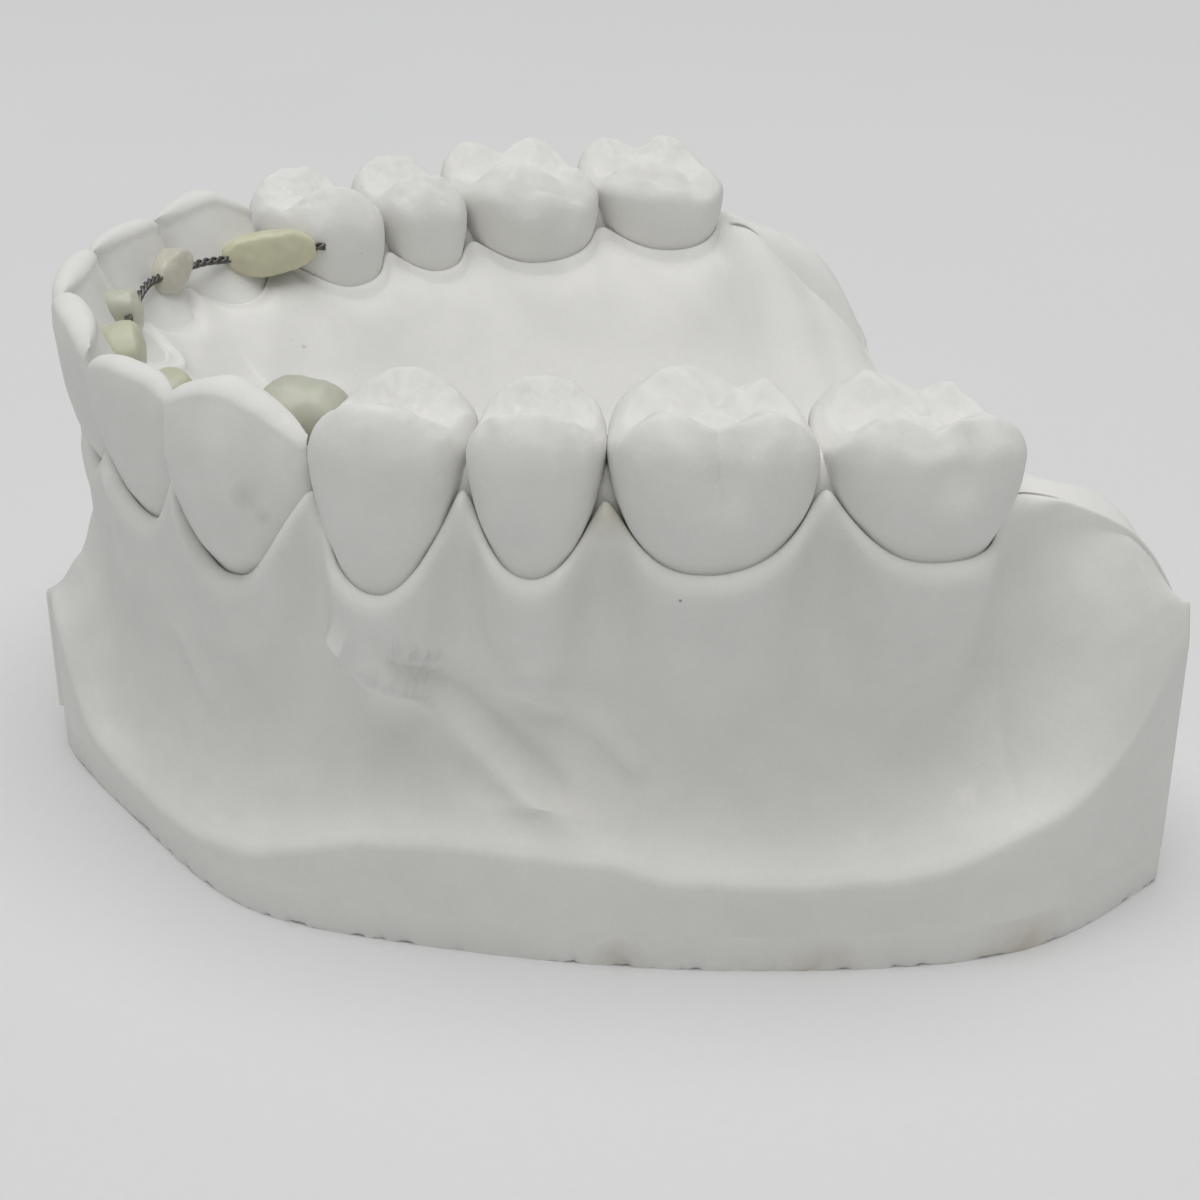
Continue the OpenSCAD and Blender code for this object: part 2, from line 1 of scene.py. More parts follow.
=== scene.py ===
import math
import bmesh
import bpy
import numpy as np
from mathutils import Matrix, Vector, noise


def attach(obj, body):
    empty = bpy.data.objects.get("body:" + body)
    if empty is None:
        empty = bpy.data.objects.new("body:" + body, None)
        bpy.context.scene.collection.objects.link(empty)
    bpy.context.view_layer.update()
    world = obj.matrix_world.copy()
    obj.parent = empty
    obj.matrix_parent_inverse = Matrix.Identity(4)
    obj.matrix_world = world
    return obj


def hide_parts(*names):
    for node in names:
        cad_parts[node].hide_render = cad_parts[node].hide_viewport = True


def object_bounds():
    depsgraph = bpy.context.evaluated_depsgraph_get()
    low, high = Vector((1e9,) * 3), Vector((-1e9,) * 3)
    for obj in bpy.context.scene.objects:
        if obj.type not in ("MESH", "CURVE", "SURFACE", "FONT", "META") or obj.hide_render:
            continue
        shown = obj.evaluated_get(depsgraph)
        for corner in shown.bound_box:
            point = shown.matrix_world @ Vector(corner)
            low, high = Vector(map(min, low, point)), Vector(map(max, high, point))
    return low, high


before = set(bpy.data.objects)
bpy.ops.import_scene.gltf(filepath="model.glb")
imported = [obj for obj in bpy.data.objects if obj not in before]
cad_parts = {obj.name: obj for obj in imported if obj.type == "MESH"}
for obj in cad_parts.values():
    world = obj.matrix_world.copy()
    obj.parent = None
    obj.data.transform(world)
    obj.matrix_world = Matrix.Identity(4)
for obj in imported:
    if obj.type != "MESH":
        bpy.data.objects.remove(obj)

cad_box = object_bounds()


# ---------------------------------------------------------------------------------------
# Trimmed base slab. The foot of the cast, dental plaster ground flat on a model trimmer:
# front cuts, side walls and heel cuts meet in soft corners, the lower edge is a bit chipped.
# All sizes in this file are in millimetres until a mesh is made.
HALF_WIDTH = 27.3
ARCH_DEPTH = 44.9
SQUARENESS = 2.35
FRONT_MARGIN = 2.25
REAR_MARGIN = 9.0
SIDE_MARGIN = 3.75
MIDLINE_Y = -25.825
# The walls are measured from a hub this share of the row's length behind its front
HUB_SHARE = 0.58
FRONT_Y = MIDLINE_Y - FRONT_MARGIN
REAR_Y = MIDLINE_Y + ARCH_DEPTH + REAR_MARGIN
HUB_Y = MIDLINE_Y + HUB_SHARE * ARCH_DEPTH
FRONT_REACH = HUB_Y - FRONT_Y
SIDE_REACH = HALF_WIDTH + SIDE_MARGIN
# Direction of each straight cut in degrees from the front, and its distance from the hub
TRIM_CUTS = [(24, FRONT_REACH * math.cos(math.radians(24)) * 1.028),
             (63.3, SIDE_REACH * 0.909),
             (82, SIDE_REACH),
             (123, SIDE_REACH * 1.247)]
CORNER_SHARPNESS = 19
SLAB_HEIGHT = 2.0
CHIP_DEPTH = 0.3
# Ring heights of the slab, and how much of the chipping each ring takes
SLAB_RINGS = [(0.0, 1.0), (0.12, 0.55), (0.3, 0.25), (0.6, 0.08), (1.0, 0.0), (SLAB_HEIGHT, 0.0)]
MM = 0.001


def trim_reach(angle):
    """Distance from the hub to the trimmed wall, angle in radians from straight ahead."""
    east, north = np.sin(angle), -np.cos(angle)
    total = np.zeros_like(angle)
    for degrees, distance in TRIM_CUTS:
        turn = math.radians(degrees)
        for side in (-1, 1):
            facing = east * side * math.sin(turn) - north * math.cos(turn)
            total += (np.maximum(0, facing) / distance) ** CORNER_SHARPNESS
    return total ** (-1 / CORNER_SHARPNESS)


def wall_at(angle):
    reach = trim_reach(angle)
    return np.stack([reach * np.sin(angle), np.maximum(HUB_Y - reach * np.cos(angle), FRONT_Y)], -1)


fine_turn = np.radians(np.linspace(100, 170, 7001))
REAR_CORNER = fine_turn[np.argmax(wall_at(fine_turn)[:, 1] >= REAR_Y)]
CORNER_X = wall_at(np.array([REAR_CORNER]))[0, 0]


def ripple(points, size):
    """Smooth unevenness from -1 to 1 at each point, with bumps about size across."""
    return np.array([noise.fractal(Vector(p / size), 1.0, 2.0, 3) for p in points])


def smooth(t):
    t = np.clip(t, 0, 1)
    return t * t * (3 - 2 * t)


def blend(a, b, t):
    return a + (b - a) * t


def make_piece(name, points, faces, crease=38):
    """A closed, welded, outward mesh in metres, smooth but for edges sharper than crease."""
    mesh = bpy.data.meshes.new(name)
    mesh.from_pydata((np.asarray(points) * MM).tolist(), [], faces)
    skin = bmesh.new()
    skin.from_mesh(mesh)
    bmesh.ops.remove_doubles(skin, verts=skin.verts, dist=2e-6)
    bmesh.ops.dissolve_degenerate(skin, edges=skin.edges, dist=1e-6)
    bmesh.ops.recalc_face_normals(skin, faces=skin.faces)
    skin.to_mesh(mesh)
    skin.free()
    mesh.shade_smooth()
    mesh.set_sharp_from_angle(angle=math.radians(crease))
    piece = bpy.data.objects.new(name, mesh)
    bpy.context.scene.collection.objects.link(piece)
    return piece


class Reading:
    """A node's output that can be added, multiplied and so on with others and with numbers."""

    def __init__(self, finish, socket):
        self.finish = finish
        self.socket = socket

    def maths(self, operation, first, second):
        return self.finish.node("ShaderNodeMath", {"operation": operation}, {0: first, 1: second})

    def __add__(self, other):
        return self.maths("ADD", self, other)

    __radd__ = __add__

    def __sub__(self, other):
        return self.maths("SUBTRACT", self, other)

    def __rsub__(self, other):
        return self.maths("SUBTRACT", other, self)

    def __mul__(self, other):
        return self.maths("MULTIPLY", self, other)

    def __truediv__(self, other):
        return self.maths("DIVIDE", self, other)

    def limited(self):
        return self.finish.node("ShaderNodeClamp", {}, {"Value": self})

    def above(self, level, width):
        """0 below the level, 1 above it, with a soft step of the given width."""
        return ((self - (level - width / 2)) / width).limited()


class Finish:
    """One material: its nodes are all added here."""

    def __init__(self, name):
        self.material = bpy.data.materials.new(name)
        self.material.use_nodes = True
        self.tree = self.material.node_tree
        self.tree.nodes.clear()

    def node(self, kind, settings, sockets, output=0):
        made = self.tree.nodes.new(kind)
        for key, value in settings.items():
            setattr(made, key, value)
        for key, value in sockets.items():
            if isinstance(value, Reading):
                self.tree.links.new(value.socket, made.inputs[key])
            else:
                made.inputs[key].default_value = value
        return Reading(self, made.outputs[output] if len(made.outputs) else None)

    def mixed(self, amount, first, second):
        """Colour between two colours."""
        return self.node("ShaderNodeMix", {"data_type": "RGBA"}, {0: amount, 6: first, 7: second}, 2)

    def place(self):
        """Position on the object itself."""
        return self.node("ShaderNodeTexCoord", {}, {}, "Object")

    def edges(self):
        """Pointiness: above a half on ridges and below it in creases; used to paint ridges paler and creases
        darker, as painted highlight and painted shade.
        """
        return self.node("ShaderNodeNewGeometry", {}, {}, "Pointiness")

    def away(self, place, spot):
        """Distance in metres from a spot given in millimetres."""
        return self.node("ShaderNodeVectorMath", {"operation": "DISTANCE"},
                         {0: place, 1: tuple(value * MM for value in spot)}, "Value")

    def uneven(self, place, size, detail, roughness, seed):
        """Cloudy noise with patches about size millimetres across."""
        shift = (seed, seed * 1.7, seed * 0.6)
        moved = self.node("ShaderNodeMapping", {}, {"Vector": place, "Location": shift})
        return self.node("ShaderNodeTexNoise", {}, {"Vector": moved, "Scale": 1000 / size,
                         "Detail": detail, "Roughness": roughness}, "Fac")

    def bump(self, strength, distance, height):
        return self.node("ShaderNodeBump", {}, {"Strength": strength, "Distance": distance,
                                                "Height": height})

    def surface(self, sockets):
        """Closes the material with one shader and its output."""
        shader = self.node("ShaderNodeBsdfPrincipled", {}, sockets)
        self.node("ShaderNodeOutputMaterial", {}, {"Surface": shader})

    def wear(self, piece):
        piece.data.materials.clear()
        piece.data.materials.append(self.material)


def plaster(name, seed, light, shade, spots=(), stains=()):
    """Set dental plaster: warm white, faintly cloudy, fine grain, pinholes, ridges painted paler and creases
    painted darker as painted highlight and painted shade.
    spots are pinholes painted dark with the shade inside them, and stains are tinted patches: (x, y, z,
    radius[, colour])."""
    cast = Finish(name)
    place = cast.place()
    clouds = cast.uneven(place, 14, 2.0, 0.5, seed)
    mottle = cast.uneven(place, 2.2, 4.0, 0.6, seed + 3)
    grain = cast.uneven(place, 0.22, 3.0, 0.7, seed + 5)
    # The tone mixes random clouds, mottle and grain with pointiness: ridges get painted highlight and
    # creases get painted shade.
    tone = (0.5 + (clouds - 0.5) * 0.9 + (mottle - 0.5) * 0.7 + (grain - 0.5) * 0.5
            + (cast.edges() - 0.5) * 2.2).limited()
    colour = cast.mixed(tone, shade, light)
    # Pinholes: sparse tiny cells painted dark as painted shade inside the holes; they also dip the bump
    # below.
    cells = cast.node("ShaderNodeTexVoronoi", {}, {"Vector": place, "Scale": 420.0}, "Distance")
    rare = cast.uneven(place, 3.0, 1.0, 0.5, seed + 9).above(0.66, 0.03)
    pinholes = (1 - cells.above(0.05, 0.04)) * rare
    colour = cast.mixed(pinholes * 0.35, colour, (0.33, 0.32, 0.28, 1))
    for *spot, radius, tint in stains:
        patch = (1 - cast.away(place, spot) / (radius * MM)).limited() * mottle.above(0.45, 0.35)
        colour = cast.mixed(patch * 0.75, colour, tint)
    holes = pinholes
    # Each listed spot is painted dark as painted shade inside a pinhole, and dips the bump.
    for *spot, radius in spots:
        dot = (1.6 - cast.away(place, spot) / (radius * 0.625 * MM)).limited()
        colour = cast.mixed(dot * 0.7, colour, (0.16, 0.15, 0.12, 1))
        holes = holes + dot
    relief = grain * 0.35 + mottle * 0.5 - holes * 0.8
    cast.surface({"Base Color": colour, "Roughness": 0.74 + (mottle - 0.5) * 0.25,
                  "Normal": cast.bump(0.35, 0.12 * MM, relief), "Specular IOR Level": 0.28})
    return cast


PALE = (0.84, 0.835, 0.81, 1)
GREYER = (0.725, 0.725, 0.70, 1)

slab_turns = np.radians(np.arange(-180, 180, 0.36))
slab_walls = wall_at(np.clip(slab_turns, -REAR_CORNER, REAR_CORNER))
behind = np.abs(slab_turns) > REAR_CORNER
slab_walls[behind, 0] = np.interp(slab_turns[behind] % (2 * math.pi),
                                  [REAR_CORNER, 2 * math.pi - REAR_CORNER], [CORNER_X, -CORNER_X])
slab_walls[behind, 1] = REAR_Y
count = len(slab_walls)
slab_points = []
for height, inset in SLAB_RINGS:
    around = np.column_stack([slab_walls, np.full(count, height)])
    small_chips = np.clip(ripple(around, 0.9) - 0.05, 0, 1) * 1.6
    chips = small_chips + np.clip(ripple(around, 4.0), 0, 1) * 0.5 + 0.15
    inward = np.array([0, HUB_Y]) - slab_walls
    inward /= np.linalg.norm(inward, axis=1)[:, None]
    around[:, :2] += inward * (np.minimum(chips, 1) * CHIP_DEPTH * inset)[:, None]
    slab_points.append(around)
levels = len(slab_points)
slab_points = np.vstack(slab_points + [[[0, HUB_Y, 0]], [[0, HUB_Y, SLAB_HEIGHT]]])
slab_faces = []
for k in range(count):
    after = (k + 1) % count
    for level in range(levels - 1):
        a, b = level * count, (level + 1) * count
        slab_faces.append((a + k, a + after, b + after, b + k))
    slab_faces.append((levels * count, after, k))
    top = (levels - 1) * count
    slab_faces.append((levels * count + 1, top + k, top + after))
base_slab = make_piece("cast_base_slab", slab_points, slab_faces)
plaster("trimmed_plaster", 1.0, PALE, GREYER, spots=[(29.5, -1.0, 0.35, 0.35)],
        stains=[(29.6, -1.0, 0.2, 1.6, (0.42, 0.34, 0.2, 1)), (32.6, 18.5, 0.1, 3.0, (0.55, 0.5, 0.38, 1)),
                (31.5, 8.5, 0.0, 2.4, (0.52, 0.46, 0.34, 1))]).wear(base_slab)
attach(base_slab, "root")
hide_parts("plaster_base")


# ---------------------------------------------------------------------------------------
# Gums and palate. Poured in one with the teeth: the cheek folds and the frenum cords run up
# from the trimmed rim, the free gum stands as a soft roll along each tooth, the palate is
# vaulted with low rugae behind the front teeth, and the tuberosities round off the back.
SHARES = [8.9, 7.4, 8.2, 7.4, 6.4, 9.8, 9.4]
CROWN_DEPTHS = [7.0, 6.4, 8.2, 9.2, 9.2, 11.2, 11.0]
NECKS = [18.4, 17.74, 16.86, 18.4, 19.5, 20.27, 20.6]
# Tip heights on the right side, 1, and on the left, -1
TIPS = {1: [27.4, 26.4, 27.15, 27.4, 27.4, 27.6, 27.1],
        -1: [27.5, 27.5, 27.95, 27.6, 27.5, 27.7, 27.2]}
# Lowest point of the gum edge on each tooth, and its points between the teeth
ZENITHS = [18.5, 18.0, 16.9, 18.4, 19.8, 20.4, 20.6]
PAPILLAE = [20.4, 21.0, 22.2, 22.6, 23.7, 23.3, 24.0, 22.2]
SCALLOPS = [2.0, 2.0, 2.6, 1.9, 1.9, 2.3, 2.4]
# The lowest point lies this share of a half width towards the midline
ZENITH_SHIFTS = [0, 0, 0.3, 0, 0, 0.1, -0.05]
PALATE_NECK = 21.6
PALATE_FLOOR = 8.2
TUBEROSITY = 21.2
# Over the tuberosity the gum drops by this much, rounding over the rear edge by this power
REAR_DROP = 6.6
REAR_ROUND = 4.2
CONTACT_MERGE = 0.12
row_turn = np.radians(np.linspace(0, 90, 721))
row_x = HALF_WIDTH * np.sin(row_turn) ** (2 / SQUARENESS)
row_y = MIDLINE_Y + ARCH_DEPTH * (1 - np.cos(row_turn))
row_walk = np.concatenate([[0], np.cumsum(np.hypot(np.diff(row_x), np.diff(row_y)))])
ROW_LENGTH = row_walk[-1]
ROW_FILL = 0.985
ROW_SCALE = ROW_LENGTH * ROW_FILL / sum(SHARES)
CONTACTS = np.concatenate([[0], np.cumsum(SHARES)]) * ROW_SCALE


def row_at(s):
    """Point on the tooth row at length s from the midline, on the right side."""
    s = np.asarray(s, float)
    x = np.interp(s, row_walk, row_x)
    y = np.interp(s, row_walk, row_y) + np.maximum(0, s - ROW_LENGTH)
    return np.stack([x, y], -1)


def row_out(s):
    """Level direction from the row towards the lip or cheek."""
    s = np.asarray(s, float)
    d = row_at(s + 0.3) - row_at(np.maximum(0, s - 0.3))
    d[s < 0.4] = (1, 0)
    d /= np.linalg.norm(d, axis=-1, keepdims=True)
    return np.stack([d[..., 1], -d[..., 0]], -1)


class Seat:
    """Where a tooth stands: its middle, its direction along the row, outward and its width."""

    def __init__(self, i):
        near, far = row_at(CONTACTS[i]), row_at(CONTACTS[i + 1])
        self.middle = (near + far) / 2
        self.length = np.linalg.norm(far - near)
        self.along = (far - near) / self.length
        self.out = np.array([self.along[1], -self.along[0]])
        self.width = self.length + CONTACT_MERGE
        self.depth = CROWN_DEPTHS[i]
        self.neck = NECKS[i]
        self.tip = TIPS[1][i]


SEATS = [Seat(i) for i in range(7)]


def bend(t, table, column):
    """Smooth curve without overshoot through a table's column, first column rising."""
    x = np.array([row[0] for row in table], float)
    y = np.array([row[column] for row in table], float)
    run, rise = np.diff(x), np.diff(y) / np.diff(x)
    lean = np.zeros(len(x))
    lean[0], lean[-1] = rise[0], rise[-1]
    same = rise[:-1] * rise[1:] > 0
    lean[1:-1][same] = 2 * rise[:-1][same] * rise[1:][same] / (rise[:-1][same] + rise[1:][same])
    t = np.clip(t, x[0], x[-1])
    k = np.clip(np.searchsorted(x, t, side="right") - 1, 0, len(run) - 1)
    f = (t - x[k]) / run[k]
    return (y[k] * (1 + 2 * f) * (1 - f) ** 2 + y[k + 1] * f * f * (3 - 2 * f)
            + run[k] * (lean[k] * f * (1 - f) ** 2 - lean[k + 1] * f * f * (1 - f)))


# Front crowns: share of the height, share of the width, lip face and palate face
INCISOR_SIDE = [(-0.4, 0.5, -2.4, -5.2), (-0.1, 0.7, -1.4, -6.4), (0.03, 0.77, -1.0, -6.6),
                (0.17, 0.84, -0.35, -6.3), (0.33, 0.91, 0.1, -5.1), (0.5, 0.965, 0.4, -3.8),
                (0.67, 1, 0.55, -2.7), (0.82, 0.995, 0.6, -1.85), (0.94, 0.97, 0.5, -1.3),
                (1, 0.95, 0.4, -1.1)]
CANINE_SIDE = [(-0.4, 0.5, -1.4, -4.8), (-0.1, 0.7, -0.2, -6.2), (0.03, 0.78, 0.4, -6.4),
               (0.17, 0.86, 1.25, -6.1), (0.33, 0.93, 1.75, -5.1), (0.5, 0.98, 1.95, -3.7),
               (0.67, 1, 1.9, -2.5), (0.82, 0.985, 1.7, -1.5), (0.94, 0.95, 1.4, -0.75),
               (1, 0.92, 1.15, -0.45)]
FRONT_DESIGN = [7.0, 7.0, 8.2]
FRONT_FORM = 2.3
WIDEST = 0.32
FRONT_TAPER = 0.2
# Back crowns: height above the neck and share of the depth, then share of the crown's height
# and share of the width, which is widest high up where the crowns touch
BACK_DEPTH = [(-3.4, 0.7), (-0.9, 0.84), (0, 0.875), (1.5, 0.95), (2.7, 0.99), (3.3, 1)]
PREMOLAR_WIDTH = [(-0.4, 0.42), (0, 0.56), (0.15, 0.67), (0.3, 0.79), (0.45, 0.9), (0.6, 0.97),
                  (0.74, 1), (1, 1)]
MOLAR_WIDTH = [(-0.4, 0.55), (0, 0.7), (0.15, 0.79), (0.3, 0.88), (0.45, 0.95), (0.6, 0.985),
               (0.74, 1), (1, 1)]
BACK_FORM = 3.3
BACK_TAPER = 0.12
CONTACT_INSET = 0.1


def inside_tooth(i, x, y, z):
    """True where a point, in the tooth's own directions, lies in its crown or root."""
    seat = SEATS[i]
    if i < 3:
        table = CANINE_SIDE if i == 2 else INCISOR_SIDE
        t = (z - seat.neck) / (seat.tip - seat.neck)
        scale = seat.depth / FRONT_DESIGN[i]
        lip, palate = bend(t, table, 2) * scale, bend(t, table, 3) * scale
        centre = blend(lip, palate, WIDEST)
        across = np.where(y > centre, (y - centre) / (lip - centre), (y - centre) / (centre - palate))
        half = seat.width / 2 * bend(t, table, 1) * (1 - FRONT_TAPER * np.clip(-across, 0, 1))
        return np.abs(x / half) ** FRONT_FORM + np.abs(across) ** FRONT_FORM < 1
    h = z - seat.neck
    across = (y + CONTACT_INSET * seat.depth) / (seat.depth / 2 * bend(h, BACK_DEPTH, 1))
    widths = bend(h / (seat.tip - seat.neck), PREMOLAR_WIDTH if i < 5 else MOLAR_WIDTH, 1)
    half = seat.width / 2 * widths * (1 - BACK_TAPER * np.clip(-across, 0, 1))
    return np.abs(x / half) ** BACK_FORM + np.abs(across) ** BACK_FORM < 1


# Lengths along one side of the row: close together at the contacts, then the tail
COLUMNS_PER_TOOTH = 40
TAIL_COLUMNS = 44
CROWDING = 0.09
ROW_END = CONTACTS[7]
TAIL_LENGTH = REAR_Y - row_at(ROW_END)[1]
steps = []
for i in range(7):
    f = np.arange(COLUMNS_PER_TOOTH) / COLUMNS_PER_TOOTH
    f = f - CROWDING * np.sin(2 * math.pi * f) / math.pi
    steps.append(blend(CONTACTS[i], CONTACTS[i + 1], f))
steps.append(ROW_END + TAIL_LENGTH * np.linspace(0, 1, TAIL_COLUMNS + 1))
column_s = np.concatenate(steps)
COLUMNS = len(column_s) - 1
tail = np.clip((column_s - ROW_END) / TAIL_LENGTH, 0, 1)
tooth_of = np.clip(np.searchsorted(CONTACTS, column_s, side="right") - 1, 0, 6)
within = np.clip((column_s - CONTACTS[tooth_of]) / (CONTACTS[tooth_of + 1] - CONTACTS[tooth_of]), 0, 1)
from_centre = 2 * within - 1
shifted = from_centre + np.array(ZENITH_SHIFTS)[tooth_of] * (1 - from_centre ** 2)
from_middle = np.abs(shifted)
centre_line = row_at(column_s)
outward = row_out(column_s)
tail_rise = smooth(np.minimum(1, tail * 1.6))
rear_fall = REAR_DROP * tail ** REAR_ROUND

# Gum edge heights on the lip or cheek side, and on the palate side
zenith = np.array(ZENITHS)[tooth_of]
papilla = np.where(within < 0.5, np.array(PAPILLAE)[tooth_of], np.array(PAPILLAE)[tooth_of + 1])
lip_z = blend(zenith, papilla, from_middle ** np.array(SCALLOPS)[tooth_of])
lip_z = np.where(tail > 0, blend(PAPILLAE[7], TUBEROSITY - 0.3, tail_rise) - rear_fall, lip_z)
PALATE_PAPILLA = 1.5
inner_tail = blend(PALATE_NECK + PALATE_PAPILLA, TUBEROSITY - 1.6, tail_rise) - 6.2 * tail ** 2.5
inner_z = np.where(tail > 0, inner_tail, PALATE_NECK + PALATE_PAPILLA * from_middle ** 2.2)


def edge_offset(heights, sign):
    """How far out from the row the teeth reach at the gum edge, on one side of the row."""
    across = np.arange(-9.5, 7.0, 0.05)
    found = np.full(len(column_s), np.nan)
    for k in range(len(column_s)):
        spots = centre_line[k] + across[:, None] * outward[k]
        taken = np.zeros(len(across), bool)
        for i in range(max(0, tooth_of[k] - 1), min(7, tooth_of[k] + 2)):
            away = spots - SEATS[i].middle
            level = np.full(len(across), heights[k])
            taken |= inside_tooth(i, away @ SEATS[i].along, away @ SEATS[i].out, level)
        if taken.any():
            found[k] = (across[taken].max() if sign > 0 else across[taken].min())
    known = ~np.isnan(found)
    return np.interp(column_s, column_s[known], found[known])


even_s = np.arange(-column_s[-1], column_s[-1] + 0.05, 0.1)


def softened(values, width):
    """The values smoothed along the row, mirrored over the midline."""
    if width < 0.05:
        return values
    line = np.interp(np.abs(even_s), column_s, values)
    reach = int(width * 30)
    weights = np.exp(-0.5 * (np.arange(-reach, reach + 1) * 0.1 / width) ** 2)
    padded = np.pad(line, reach, mode="edge")
    line = np.convolve(padded, weights / weights.sum(), mode="valid")
    return np.interp(column_s, even_s, line)


lip_edge = edge_offset(lip_z, 1)
inner_edge = edge_offset(inner_z, -1)
lip_floor = softened(lip_edge, 2.2) - 0.7
inner_ceiling = softened(inner_edge, 2.2) + 0.8
lip_edge = softened(np.maximum(lip_edge, lip_floor), 0.22)
inner_edge = softened(np.minimum(inner_edge, inner_ceiling), 0.22)
lip_z = softened(lip_z, 0.18)
inner_z = softened(inner_z, 0.3)

# Behind the last tooth the two gum edges run out to places on the rear wall
lip_xy = centre_line + outward * lip_edge[:, None]
inner_xy = centre_line + outward * inner_edge[:, None]
last_lip = lip_edge[COLUMNS_PER_TOOTH * 7]
last_inner = inner_edge[COLUMNS_PER_TOOTH * 7]
in_tail = tail > 0
LIP_INSET = 0.9
INNER_INSET = 8
lip_xy[in_tail, 0] = blend(HALF_WIDTH + last_lip, CORNER_X - LIP_INSET, smooth(tail[in_tail] / 0.5))
inner_xy[in_tail, 0] = blend(HALF_WIDTH + last_inner, CORNER_X - INNER_INSET, tail[in_tail])

# Wall foot of each column, and the trimmed rim's height round the outline
WALL_PROBE = 5
probe = centre_line + outward * WALL_PROBE
turn = np.arctan2(probe[:, 0], HUB_Y - probe[:, 1])
turn = turn + (REAR_CORNER - turn[-1]) * tail ** 2
turn = np.minimum(turn, REAR_CORNER)
wall_xy = wall_at(turn)
wall_xy[0] = (0, FRONT_Y)
wall_xy[-1] = (CORNER_X, REAR_Y)
# Rim heights by degrees round from the front, 135 standing for the rear corner
RIM_LINE = [(0, 9.4), (5, 8), (10, 4.6), (15, 2.9), (29, 2.6), (40, 2.8), (48, 3.5), (55, 4.5),
            (63, 5.7), (75, 6.1), (86, 5.7), (93, 5.1), (100, 4.8), (107, 5), (113, 5.6), (118, 6.5),
            (123, 7.6), (127, 8.9), (130, 10.4), (132, 12.0), (135, 13.8)]
rim_z = bend(turn / REAR_CORNER * RIM_LINE[-1][0], RIM_LINE, 1)

# Outer face: share of the way in from the wall, share of the way up to the gum roll
OUTER_FACE = [(0, 0), (0.03, 0.03), (0.2, 0.09), (0.38, 0.19), (0.58, 0.34), (0.76, 0.52),
              (0.9, 0.72), (0.97, 0.88), (1, 1)]
# Roll of the free gum: distance out from the teeth and height from the gum edge
GUM_ROLL = [(0.7, -2.0), (0.84, -1.4), (0.88, -0.9), (0.8, -0.48), (0.6, -0.18), (0.35, -0.03),
            (0.12, -0.04), (-0.06, -0.18), (-0.35, -0.5)]
PALATE_ROLL = [(0.35, -0.45), (0.08, -0.16), (-0.12, -0.02), (-0.35, -0.03), (-0.6, -0.2), (-0.85, -0.6)]
# Inside the rim the cheek fold is hollowed: share of the height, share of the fold's depth
CHEEK_FOLD = [(0, 0), (0.03, 0.3), (0.08, 0.62), (0.16, 0.86), (0.28, 1), (0.42, 0.96), (0.6, 0.72),
              (0.8, 0.32), (1, 0)]
# and its depth by length along the row
FOLD_DEPTHS = [(0, 1.2), (12, 1.3), (22, 1.7), (32, 2.3), (44, 2.7), (54, 2.5), (60, 1.6), (66, 0)]
fold_depth = bend(column_s, FOLD_DEPTHS, 1)
outer_shares = np.concatenate([[0.006, 0.02], np.linspace(0.05, 0.97, 30)])
sheet = []
kinds = []


def add_row(xy, z, kind):
    sheet.append(np.column_stack([xy, z]))
    kinds.append(kind)


add_row(wall_xy, rim_z - 0.5, "rim")
add_row(wall_xy + (centre_line - wall_xy) * 0.004, rim_z - 0.2, "rim")
start_out, start_drop = GUM_ROLL[0]
for share in outer_shares:
    drop = (1 - share) * 12
    fade = 1 - smooth(tail * 3)
    loose = min(5.0, 0.6 * drop + 0.25)
    along_row = centre_line + outward * softened(lip_edge, loose)[:, None]
    loose_xy = blend(along_row, lip_xy, smooth(tail * 4)[:, None])
    target = loose_xy + outward * (start_out * fade)[:, None]
    target_z = softened(lip_z, loose) + start_drop * blend(0.12, 1, fade)
    rise = bend(np.full(1, share), OUTER_FACE, 1)[0]
    tail_shape = np.minimum(1, tail * 1.5)
    rise = blend(rise, math.sin(share * math.pi / 2), tail_shape)
    hollow = bend(rise, CHEEK_FOLD, 1) * fold_depth * (1 - tail_shape)
    face_xy = blend(wall_xy, target, share) - outward * hollow[:, None]
    add_row(face_xy, blend(rim_z, target_z, rise), "outer")
# In the tail the roll shrinks to a narrow even band
tail_roll = np.linspace(0.072, -0.072, len(GUM_ROLL))
for (out_by, drop), tail_out in zip(GUM_ROLL, tail_roll):
    soft = 0.25 * max(0, -drop - 0.5)
    along_row = centre_line + outward * softened(lip_edge, soft)[:, None]
    line = blend(along_row, lip_xy, smooth(tail * 4)[:, None])
    roll_xy = line + outward * blend(tail_out, out_by, fade)[:, None]
    add_row(roll_xy, softened(lip_z, soft) + drop * blend(0.08, 1, fade), "roll")
tail_crest = blend(PAPILLAE[7], TUBEROSITY + 0.2, tail_rise) - rear_fall
crest_z = np.where(tail > 0, tail_crest, np.maximum(lip_z, inner_z - 0.6) - 0.5)
# Plaster webs fill the spaces between the crowns up to where they touch
to_contact = np.min(np.abs(column_s[:, None] - CONTACTS[None, 1:7]), axis=1)
web = np.exp(-(to_contact / 0.8) ** 4)
WEB_RISE = [(0.05, 0.5), (0.12, 1.3), (0.25, 1.7), (0.4, 1.7), (0.55, 1.7), (0.7, 1.5), (0.86, 0.8)]
for share, rise in WEB_RISE:
    flatter = np.where(tail > 0, 1 - math.sin(math.pi * share), 0)
    level = blend(crest_z, blend(lip_z, inner_z, share), flatter)
    add_row(blend(lip_xy, inner_xy, share), softened(level, 0.2) + web * rise, "crest")
for out_by, drop in PALATE_ROLL:
    fade = np.where(tail > 0, 1 - smooth(tail * 3), np.where(tooth_of < 3, 0.45, 1))
    level = blend(inner_z + drop * 0.15, inner_z + drop * fade, fade)
    add_row(inner_xy + outward * (out_by * blend(0.3, fade, fade))[:, None], level, "inner")
